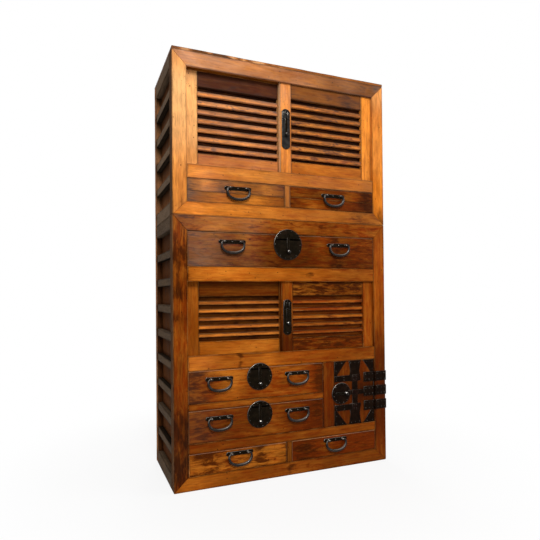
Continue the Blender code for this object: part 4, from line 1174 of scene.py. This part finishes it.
def pull_plate(name, body):
    """A back bar with rounded ends, a rivet in its middle and two eye posts."""
    low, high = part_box(name)
    x, z, back = (low.x + high.x) / 2, (low.z + high.z) / 2, high.y
    piece, studs = Piece(), Piece()
    radius = PULL_HEIGHT / 2
    reach = PULL_WIDTH / 2 - radius
    ends = arc((x + reach, z), radius, -math.pi / 2, math.pi / 2, PULL_SEGMENTS)
    ends += arc((x - reach, z), radius, math.pi / 2, 3 * math.pi / 2, PULL_SEGMENTS)
    plate(piece, ends, (back - PULL_THICKNESS, back), PULL_EDGE)
    rivet(studs, x, back - PULL_THICKNESS, z, PULL_RIVET)
    tip = back - low.y
    profile = [(EYE_RADIUS * share, PULL_THICKNESS + past) for share, past in EYE_FOOT]
    profile += [(EYE_RADIUS * share, tip - short) for share, short in EYE_TIP]
    for eye in span(x, EYE_SPACING):
        turn(studs, profile, (eye, back, z), EYE_SIDES)
    piece.make(f"{name}_iron", body, "iron", [PLATE_IRON, LIT_WORN_IRON], [name])
    studs.make(f"{name}_studs", body, "iron", [LIT_WORN_IRON])


def bail(name):
    """A bail whose ends turn in to the eyes; the grip is a little thicker."""
    low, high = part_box(name)
    x, y = (low.x + high.x) / 2, (low.y + high.y) / 2
    pivot_z = low.z + BAIL_DROP
    half = BAIL_WIDTH / 2 - BAIL_SIDE_RADIUS
    depth = BAIL_DROP - BAIL_RADIUS - BAIL_SHOULDER
    right = [(EYE_SPACING / 2 - BAIL_STUB, 0.0, BAIL_END_RADIUS)]
    for index in range(BAIL_BEND_STEPS + 1):
        share = index / BAIL_BEND_STEPS
        angle = math.pi / 2 * (1 - share)
        bend_x = half - BAIL_BEND + BAIL_BEND * math.cos(angle)
        radius = BAIL_END_RADIUS + (BAIL_SIDE_RADIUS - BAIL_END_RADIUS) * share
        right.append((bend_x, BAIL_SHOULDER * (math.sin(angle) - 1), radius))
    path = list(right)
    for index in range(1, BAIL_STEPS):
        angle = math.pi * index / BAIL_STEPS
        sideways = math.copysign(abs(math.cos(angle)) ** BAIL_SQUARENESS, math.cos(angle))
        radius = BAIL_SIDE_RADIUS + (BAIL_RADIUS - BAIL_SIDE_RADIUS) * math.sin(angle)
        path.append((half * sideways, -BAIL_SHOULDER - depth * math.sin(angle) ** BAIL_SQUARENESS, radius))
    path += [(-px, pz, radius) for px, pz, radius in reversed(right)]
    piece = Piece()
    tube(piece, [(Vector((x + px, y, pivot_z + pz)), radius) for px, pz, radius in path], BAIL_SIDES)
    piece.make(f"{name}_iron", name, "iron", [BAIL_IRON], [name])


def pulls():
    for name in frame["nodes"]:
        if name.endswith("_pull_plate"):
            pull_plate(name, frame["nodes"][name]["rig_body"])
            bail(name.replace("_plate", "_bail"))


# Locks

# The plane of the backs of the round plates
IRON_BACK = FRONT - 0.0005
PLATE = 0.003
PLATE_EDGE = 0.0009
# The bevel of a round plate: how far its points lie inside the rim and below the face
RIM_BEVEL = ((0.0, 0.0016), (0.0006, 0.0005), (0.0016, 0.0))
RIM_SIDES = 72
RIM_RIVET_INSET = 0.0065
RIM_RIVET = 0.0019
HOUSING = 0.0025
HOUSING_EDGE = 0.0012
HOUSING_MARGIN = 0.003
HOUSING_SEGMENTS = 12
# How deep raised iron is sunk into what it stands on
SUNK = 0.0005
BOLT_WIDTH = 0.010
BOLT_THICKNESS = 0.0021
BOLT_EDGE = 0.0005
# Half the slot that a housing leaves for the bolt
BOLT_SLOT = BOLT_WIDTH / 2 + 0.0006
# The cap over a bolt: its half width, its start past the step and its play from the housing's rim
CAP_HALF = BOLT_WIDTH / 2 + 0.001
CAP_START = 0.0165
CAP_PLAY = 0.0008
# A black strip of painted shadow under a housing: its height, its share of the step's length, its thickness and its
# edge
SHADOW_STRIP = 0.0055
SHADOW_STRIP_SHARE = 0.97
SHADOW_STRIP_LIFT = 0.0003
SHADOW_STRIP_EDGE = 0.0001
# The seat behind a drawer's plate: its share of the radius, how far it comes forward and its edge
SEAT_SHARE = 0.6
SEAT_REACH = 0.001
SEAT_EDGE = 0.0004
SEAT_SEGMENTS = 35
KNOB_PROFILE = (
    (0.0062, -0.0006), (0.0060, 0.0009), (0.0044, 0.0020), (0.0042, 0.0036), (0.0064, 0.0049),
    (0.0075, 0.0066), (0.0078, 0.0083), (0.0073, 0.0101), (0.0059, 0.0117), (0.0037, 0.0128), (0.0012, 0.0132),
)
KNOB_RADIUS = 0.0078
KNOB_SIDES = 24
# How far above its centre the housing of each drawer lock begins
DRAWER_LOCK_STEPS = {"long_drawer": 0.022, "lock_drawer_1": 0.032, "lock_drawer_2": 0.032}
# A door's plate: the rise of its curved ends, its step below the top, and its rivets' radius and places
DOOR_LOCK_RISE = 0.012
DOOR_LOCK_SEGMENTS = 10
DOOR_LOCK_STEP = 0.040
DOOR_LOCK_RIVET = 0.0022
DOOR_LOCK_RIVET_DROP = 0.007
DOOR_LOCK_RIVET_RISE = 0.009


class LockFace:
    """A lock's own axes on the front: u along its bolt's throw, v across it, from its centre."""

    def __init__(self, centre, throw):
        self.centre = centre
        self.throw = throw

    def point(self, u, v):
        along_x, along_z = self.throw
        return (self.centre[0] + along_x * u - along_z * v, self.centre[1] + along_z * u + along_x * v)

    def raise_plate(self, piece, outline, y):
        plate(piece, [self.point(*uv) for uv in outline], y, HOUSING_EDGE, rubbed=False)

    def crescent(self, piece, radius, chord, notch, y):
        """The disc past a chord, in two halves that leave a slot for the bolt between them."""
        half_angle = math.acos(chord / radius)
        rim = arc((0.0, 0.0), radius, math.asin(notch / radius), half_angle, HOUSING_SEGMENTS)
        outline = [(chord, notch), *rim] if notch < radius * math.sin(half_angle) else rim
        self.raise_plate(piece, outline, y)
        self.raise_plate(piece, [(u, -v) for u, v in outline[::-1]], y)


def disc_lock(piece, studs, face, radius, step, rivets=14):
    """A round plate with a bevelled rim, rivets round it and a raised housing past a step."""
    x, z = face.centre
    front = IRON_BACK - PLATE
    rim = [(radius, 0.0)] + [(radius - inside, PLATE - below) for inside, below in RIM_BEVEL]
    turn(piece, rim, (x, IRON_BACK, z), RIM_SIDES, rubbed=(1, 2))
    housing_y = (front - HOUSING, front + SUNK)
    housing = radius - HOUSING_MARGIN
    face.crescent(piece, housing, step, BOLT_SLOT, housing_y)
    cap = rectangle((step + CAP_START, housing - CAP_PLAY), (-CAP_HALF, CAP_HALF))
    face.raise_plate(piece, cap, housing_y)
    for index in range(rivets):
        angle = 2 * math.pi * (index + 0.5) / rivets
        u, v = (radius - RIM_RIVET_INSET) * math.cos(angle), (radius - RIM_RIVET_INSET) * math.sin(angle)
        x, z = face.point(u, v)
        rivet(studs, x, front - (HOUSING if u > step else 0.0), z, RIM_RIVET)


def disc_seam(piece, face, radius, step):
    """A black strip of painted shadow in the corner under a drawer lock's housing, on both sides of the bolt."""
    x, z = face.centre
    front = IRON_BACK - PLATE
    far = SHADOW_STRIP_SHARE * math.sqrt((radius - HOUSING_MARGIN) ** 2 - step**2)
    shadow_z, shadow_y = (z + step - SHADOW_STRIP, z + step + SUNK), (front - SHADOW_STRIP_LIFT, front + SUNK)
    for shadow_x in ((x - far, x - BOLT_SLOT), (x + BOLT_SLOT, x + far)):
        bar(piece, shadow_x, shadow_z, shadow_y, SHADOW_STRIP_EDGE, rubbed=False, finish=2)


def bolt(name, horizontal=False):
    """A flat bolt with a turned knob at its near end."""
    low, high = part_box(name)
    piece, knob = Piece(), Piece()
    bar_front = high.y - BOLT_THICKNESS
    if horizontal:
        knob_x, knob_z = high.x - KNOB_RADIUS, (low.z + high.z) / 2
        x, z = (low.x, knob_x + BOLT_WIDTH / 2), span(knob_z, BOLT_WIDTH)
    else:
        knob_x, knob_z = (low.x + high.x) / 2, low.z + KNOB_RADIUS
        x, z = span(knob_x, BOLT_WIDTH), (knob_z - BOLT_WIDTH / 2, high.z)
    bar(piece, x, z, (bar_front, high.y), BOLT_EDGE)
    piece.make(f"{name}_bar", name, "iron", [PLATE_IRON, LIT_WORN_IRON], [name])
    turn(knob, KNOB_PROFILE, (knob_x, bar_front, knob_z), KNOB_SIDES)
    knob.make(f"{name}_knob", name, "iron", [KNOB_IRON])


def drawer_locks():
    for name, step in DRAWER_LOCK_STEPS.items():
        low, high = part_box(f"{name}_lock_plate")
        radius = (high.x - low.x) / 2
        face = LockFace(((low.x + high.x) / 2, (low.z + high.z) / 2), (0.0, 1.0))
        piece, studs = Piece(), Piece()
        disc_lock(piece, studs, face, radius, step)
        disc_seam(piece, face, radius, step)
        last = 2 * math.pi * SEAT_SEGMENTS / (SEAT_SEGMENTS + 1)
        seat = arc(face.centre, radius * SEAT_SHARE, 0.0, last, SEAT_SEGMENTS)
        plate(piece, seat, (FRONT - SEAT_REACH, high.y), SEAT_EDGE)
        finishes = [PLATE_IRON, LIT_WORN_IRON, SHADOW_STRIP_IRON]
        piece.make(f"{name}_lock_iron", name, "iron", finishes, [f"{name}_lock_plate"])
        studs.make(f"{name}_lock_studs", name, "iron", [STUD_IRON])
        bolt(f"{name}_lock_bolt")


def door_locks():
    for level in ("upper", "lower"):
        name = f"{level}_door_lock_plate"
        low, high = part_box(name)
        x, half = (low.x + high.x) / 2, (high.x - low.x) / 2
        radius = (half**2 + DOOR_LOCK_RISE**2) / (2 * DOOR_LOCK_RISE)
        spread = math.asin(half / radius)
        outline = []
        for centre_z, facing in ((high.z - radius, math.pi / 2), (low.z + radius, 1.5 * math.pi)):
            outline += arc((x, centre_z), radius, facing - spread, facing + spread, DOOR_LOCK_SEGMENTS)
        front = high.y - PLATE
        piece, studs = Piece(), Piece()
        plate(piece, outline, (front, high.y), PLATE_EDGE)
        housing_y = (front - HOUSING, front + SUNK)
        step, housing_top = high.z - DOOR_LOCK_STEP, high.z - DOOR_LOCK_RISE
        for side in (-1, 1):
            housing_x = ordered(x + side * BOLT_SLOT, x + side * (half - HOUSING_MARGIN))
            bar(piece, housing_x, (step, housing_top), housing_y, HOUSING_EDGE)
        bar(piece, (x - CAP_HALF, x + CAP_HALF), (step + CAP_START, housing_top), housing_y, HOUSING_EDGE)
        for rivet_z in (high.z - DOOR_LOCK_RIVET_DROP, low.z + DOOR_LOCK_RIVET_RISE):
            rivet(studs, x, front, rivet_z, DOOR_LOCK_RIVET)
        finish = DOOR_IRON if level == "upper" else PLATE_IRON
        piece.make(f"{level}_door_lock_iron", f"{level}_right_door", "iron", [finish, LIT_WORN_IRON], [name])
        studs.make(f"{level}_door_lock_studs", f"{level}_right_door", "iron", [STUD_IRON])
        bolt(f"{level}_door_lock_bolt")


# Safe

IRON = 0.002
IRON_BEVEL = 0.0005
# How far straps and leaves stand out over the iron under them
STRAP_LIFT = 0.0005
LEAF_LIFT = 0.00125
IRON_CORNER = 0.055
IRON_CORNER_FOOT = 0.013
IRON_CORNER_GAP = 0.0117
IRON_STRAP = 0.024
IRON_MIDDLE_STRAP = 0.018
IRON_MIDDLE_INSET = 0.004
IRON_WAIST = 0.026
IRON_WAIST_SLOPE = 0.002
IRON_FLARE = 0.058
IRON_FLARE_NECK = 0.044
IRON_EDGE = 0.006
EDGE_STRIP = 0.0025
# Squares on the crossings: how far they pass the bands on the left, the right, and above and below
SQUARE_LEFT, SQUARE_RIGHT, SQUARE_PAST = 0.001, 0.003, 0.001
SQUARE_EDGE = 0.0004
SQUARE_SINK = 0.0004
SAFE_LOCK_RADIUS = 0.044
SAFE_LOCK_INSET = 0.032
SAFE_LOCK_STEP = 0.022
HINGE_PITCH = 0.0595
HINGE_HEIGHT = 0.040
HINGE_LEAF = 0.056
HINGE_BARREL = 0.0045
HINGE_SIDES = 20
HINGE_BRIDGE = 0.004
HINGE_EDGE = 0.0006
BRIDGE_EDGE = 0.0004
FIXED_LEAF = 0.0025
FIXED_LEAF_WRAP = 0.001
HINGE_Y = IRON_BACK - HINGE_BARREL
BAND_RIVET = 0.0017
LEAF_RIVET = 0.0019
# Places of rivets: from a corner, along the upright band's ends, and across a strap and a leaf
CORNER_RIVETS = ((0.008, 0.008), (0.036, 0.007), (0.008, 0.038))
BAND_RIVETS = (-0.020, 0.0, 0.020)
BAND_RIVET_END = 0.008
STRAP_RIVETS = (0.006, -0.006)
STRAP_RIVETS_LEFT = (0.008, 0.045)
LEAF_RIVETS = (-0.011, 0.011)
LEAF_RIVETS_X = (0.008, 0.026, 0.043)
FIXED_RIVETS_X = (0.008, 0.025, 0.041)
# How far up and down from the middle hinge the painted shadow between the straps reaches, and how dark it is
STRAP_SHADOW_REACH = 0.055
STRAP_SHADOW_DEPTH = 0.95


def anticlockwise(outline):
    area = sum(a[0] * b[1] - b[0] * a[1] for a, b in zip(outline, outline[1:] + outline[:1]))
    return outline if area > 0 else outline[::-1]


def barrel(piece, axis_x, z):
    """A hinge knuckle about an upright axis."""
    height, radius, ease = z[1] - z[0], HINGE_BARREL, HINGE_EDGE
    profile = [(radius - ease, 0.0), (radius, ease), (radius, height - ease), (radius - ease, height)]
    turn(piece, profile, (axis_x, HINGE_Y, z[0]), HINGE_SIDES, axis=Z)


def safe_board():
    """The door's own board."""
    low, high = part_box("safe_door")
    piece = Piece()

    def strapped(point, mark):
        """Painted shadow on the wood between the strap hinges."""
        near = (point.x - low.x) / (high.x - low.x)
        near *= math.exp(-(((2 * point.z - low.z - high.z) / (2 * STRAP_SHADOW_REACH)) ** 2))
        return shaded(mark, 1.0 - STRAP_SHADOW_DEPTH * near)

    board(piece, (low.x, high.x), (low.y, high.y), (low.z, high.z), Z, "safe_door", paint=strapped)
    piece.make("safe_door_board", "safe_door", "drawer_wood", [CASE_WOOD], ["safe_door"])


def safe():
    """The safe's door with its binding, hinges and lock."""
    safe_board()
    low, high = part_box("safe_door")
    middle_x, middle_z = (low.x + high.x) / 2, (low.z + high.z) / 2
    levels = {"top": middle_z + HINGE_PITCH, "middle": middle_z, "low": middle_z - HINGE_PITCH}
    axis_x = high.x + HEADROOM
    left, right = low.x, axis_x - HINGE_BARREL - 2 * GAP
    back = low.y - GAP
    y, over = (back - IRON, back), (back - IRON - STRAP_LIFT, back)
    piece, studs, squares = Piece(), Piece(), Piece()
    for edge, inward in ((left, 1), (right, -1)):
        leg = abs(middle_x - edge) - IRON_FLARE / 2 - IRON_CORNER_GAP
        for end, upward in ((low.z, 1), (high.z, -1)):
            strap = middle_z - upward * (HINGE_PITCH - IRON_STRAP / 4)
            outline = [
                (edge, end),
                (edge + inward * leg, end),
                (edge + inward * IRON_CORNER_FOOT, end + upward * IRON_CORNER),
                (edge + inward * IRON_EDGE, strap),
                (edge, strap),
            ]
            plate(piece, anticlockwise(outline), y, IRON_BEVEL)
            for along, up in CORNER_RIVETS:
                rivet(studs, edge + inward * along, y[0], end + upward * up, BAND_RIVET)
    upright = []
    for end, upward in ((low.z, -1), (high.z, 1)):
        strap = middle_z + upward * (HINGE_PITCH - IRON_STRAP / 2)
        half_side = [(IRON_WAIST / 2, strap - upward * IRON_WAIST_SLOPE), (IRON_FLARE / 2, strap)]
        half_side += [(IRON_FLARE_NECK / 2, (end + strap) / 2), (IRON_FLARE / 2, end)]
        upright.append([(middle_x + dx, z) for dx, z in half_side])
    right_side = upright[0][::-1] + upright[1]
    left_side = [(2 * middle_x - px, pz) for px, pz in right_side[::-1]]
    plate(piece, anticlockwise(right_side + left_side), y, IRON_BEVEL)
    for end in (low.z + BAND_RIVET_END, high.z - BAND_RIVET_END):
        for dx in BAND_RIVETS:
            rivet(studs, middle_x + dx, y[0], end, BAND_RIVET)
    for level in (levels["top"], levels["low"]):
        bar(piece, (left, middle_x + IRON_WAIST / 2), span(level, IRON_STRAP), over, IRON_BEVEL)
        for px in (*(left + dx for dx in STRAP_RIVETS_LEFT), *(middle_x - dz for dz in STRAP_RIVETS)):
            for dz in STRAP_RIVETS:
                rivet(studs, px, over[0], level + dz, BAND_RIVET)
    strap_x = (left + IRON_MIDDLE_INSET, right - IRON_MIDDLE_INSET)
    bar(piece, strap_x, span(middle_z, IRON_MIDDLE_STRAP), over, IRON_BEVEL)
    crossing = (middle_x - IRON_WAIST / 2 - SQUARE_LEFT, middle_x + IRON_WAIST / 2 + SQUARE_RIGHT)
    for place, level in levels.items():
        low_z, high_z = span(level, IRON_MIDDLE_STRAP if place == "middle" else IRON_STRAP)
        square_y = (over[0] - STRAP_LIFT, over[0] + SQUARE_SINK)
        bar(squares, crossing, (low_z - SQUARE_PAST, high_z + SQUARE_PAST), square_y, SQUARE_EDGE)
    squares.make("safe_crossing_squares", "safe_door", "iron", [BROWN_IRON, LIT_WORN_IRON])
    bar(piece, (right - EDGE_STRIP, right), (low.z, high.z), y, IRON_BEVEL)
    leaf_front = back - IRON - LEAF_LIFT
    leaf_x = (axis_x - HINGE_LEAF, axis_x - HINGE_BARREL - GAP)
    bridge_x, bridge_y = (axis_x - HINGE_BARREL - HINGE_BRIDGE, axis_x), (leaf_front, IRON_BACK)
    third = HINGE_HEIGHT / 3
    for place, level in levels.items():
        leaf_z = span(level, HINGE_HEIGHT)
        bar(piece, leaf_x, leaf_z, (leaf_front, back), HINGE_EDGE)
        leaf_rivets(studs, leaf_x[0], LEAF_RIVETS_X, leaf_front, level)
        for knuckle in ((leaf_z[0], leaf_z[0] + third - GAP), (leaf_z[1] - third + GAP, leaf_z[1])):
            barrel(piece, axis_x, knuckle)
            bar(piece, bridge_x, knuckle, bridge_y, BRIDGE_EDGE)
        fixed_leaf(f"safe_{place}_hinge", level, leaf_z, third, axis_x)
    face = LockFace((SAFE_LEFT + SAFE_LOCK_INSET, middle_z), (-1.0, 0.0))
    disc_lock(piece, studs, face, SAFE_LOCK_RADIUS, SAFE_LOCK_STEP, rivets=12)
    piece.make("safe_binding_iron", "safe_door", "iron", [SAFE_IRON, LIT_WORN_IRON], ["safe_ironwork"])
    studs.make("safe_binding_studs", "safe_door", "iron", [STUD_IRON])
    bolt("safe_bolt", horizontal=True)


def leaf_rivets(studs, start, places, front, level):
    for along in places:
        for dz in LEAF_RIVETS:
            rivet(studs, start + along, front, level + dz, LEAF_RIVET)


def fixed_leaf(node, level, leaf_z, third, axis_x):
    """A leaf that runs over the stile and round its corner, with the middle knuckle."""
    _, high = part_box(node)
    piece, studs = Piece(), Piece()
    leaf_y = (FRONT - GAP - FIXED_LEAF, FRONT - GAP)
    leaf_x = (axis_x + HINGE_BARREL + 2 * GAP, high.x)
    bar(piece, leaf_x, leaf_z, leaf_y, HINGE_EDGE)
    leaf_rivets(studs, leaf_x[0], FIXED_RIVETS_X, leaf_y[0], level)
    wrap = rectangle((HALF + GAP, high.x), (leaf_y[0] + FIXED_LEAF_WRAP, high.y))
    caps, strips = skin(2, len(wrap))
    piece.add([(x, y, z) for z in leaf_z for x, y in wrap], caps + strips)
    knuckle = (leaf_z[0] + third + GAP, leaf_z[1] - third - GAP)
    barrel(piece, axis_x, knuckle)
    bridge_x = (axis_x, axis_x + HINGE_BARREL + HINGE_BRIDGE)
    bar(piece, bridge_x, knuckle, (leaf_y[0], IRON_BACK), BRIDGE_EDGE)
    piece.make(f"{node}_iron", "case", "iron", [SAFE_IRON, LIT_WORN_IRON], [node])
    studs.make(f"{node}_studs", "case", "iron", [STUD_IRON])


# Stage, light and camera

CAMERA_PLACE = (-0.78417, -1.84655, 0.711435)
CAMERA_YAW = -0.375742
CAMERA_PITCH = 0.0110966
CAMERA_ROLL = 0.0080301
CAMERA_LENS = 31.015
CAMERA_SENSOR = 36.0
CAMERA_SHIFT = (0.02323, 0.03466)
WHITE = (1.0, 1.0, 1.0, 1.0)
FLOOR_GREY = (0.85, 0.85, 0.85, 1.0)
SKY = (1.0, 0.97, 0.94, 1.0)
SKY_STRENGTH = 0.22
FLOOR_REACH = 14.0
FLOOR_DROP = 0.0005
# Distances from the middle of the floor between which its own white takes over, and that white's share at each
FLOOR_FADE = (0.45, 1.3, 0.84, 1.0)


def camera():
    data = bpy.data.cameras.new("photo_camera")
    data.lens = CAMERA_LENS
    data.sensor_width = CAMERA_SENSOR
    data.shift_x, data.shift_y = CAMERA_SHIFT
    view = bpy.data.objects.new("photo_camera", data)
    turn_in_room = Matrix.Rotation(CAMERA_YAW, 3, "Z") @ Matrix.Rotation(CAMERA_PITCH, 3, "X")
    upright = Matrix.Rotation(math.pi / 2, 3, "X")
    facing = turn_in_room @ Matrix.Rotation(CAMERA_ROLL, 3, "Y") @ upright
    view.matrix_world = Matrix.Translation(CAMERA_PLACE) @ facing.to_4x4()
    bpy.context.scene.collection.objects.link(view)
    bpy.context.scene.camera = view


def lamp(name, place, target, size, power):
    data = bpy.data.lights.new(name, "AREA")
    data.shape = "DISK"
    data.size = size
    data.energy = power
    light = bpy.data.objects.new(name, data)
    light.location = place
    light.rotation_euler = (Vector(target) - Vector(place)).to_track_quat("-Z", "Y").to_euler()
    bpy.context.scene.collection.objects.link(light)


def lit_by_camera(nodes):
    """A factor that is 1 for what the camera, reflections and glass see of the surroundings."""
    path = nodes.node("LightPath", {})
    either = nodes.math("MAXIMUM", path["Is Camera Ray"], path["Is Glossy Ray"])
    return nodes.math("MAXIMUM", either, path["Is Transmission Ray"])


def stage():
    world = bpy.data.worlds.new("studio")
    bpy.context.scene.world = world
    nodes = Nodes(world)
    soft = nodes.set("Background", Color=SKY, Strength=SKY_STRENGTH)
    white = nodes.node("Background", {"Color": WHITE})
    nodes.set("World Output", Surface=nodes.node("MixShader", {0: lit_by_camera(nodes), 1: soft, 2: white}))

    mesh = bpy.data.meshes.new("floor")
    corners = rectangle((-FLOOR_REACH, FLOOR_REACH), (-FLOOR_REACH, FLOOR_REACH))
    mesh.from_pydata([(*corner, 0) for corner in corners], [], [(0, 1, 2, 3)])
    floor = bpy.data.objects.new("floor", mesh)
    floor.location.z = -FLOOR_DROP
    bpy.context.scene.collection.objects.link(floor)
    material = bpy.data.materials.new("pale_floor")
    nodes = Nodes(material)
    matt = nodes.set("Principled BSDF", Base_Color=FLOOR_GREY, Roughness=0.9)
    glow = nodes.node("Emission", {"Color": WHITE})
    away = nodes.vector("LENGTH", nodes.node("TexCoord", {})["Object"])["Value"]
    share = lit_by_camera(nodes) * nodes.ramp(away, *FLOOR_FADE)
    nodes.set("Material Output", Surface=nodes.node("MixShader", {0: share, 1: matt, 2: glow}))
    mesh.materials.append(material)

    lamp("key", (-0.75, -2.85, 2.75), (-0.05, 0.0, 1.1), 1.3, 105.0)
    lamp("fill", (2.8, -1.8, 1.7), (0.1, 0.0, 0.8), 1.8, 35.0)
    lamp("rear", (0.4, 3.0, 2.6), (0.0, 0.0, 0.9), 1.8, 45.0)
    bpy.context.scene.view_settings.view_transform = "Standard"


case_pieces()
doors()
drawers()
pulls()
drawer_locks()
door_locks()
safe()
camera()
stage()
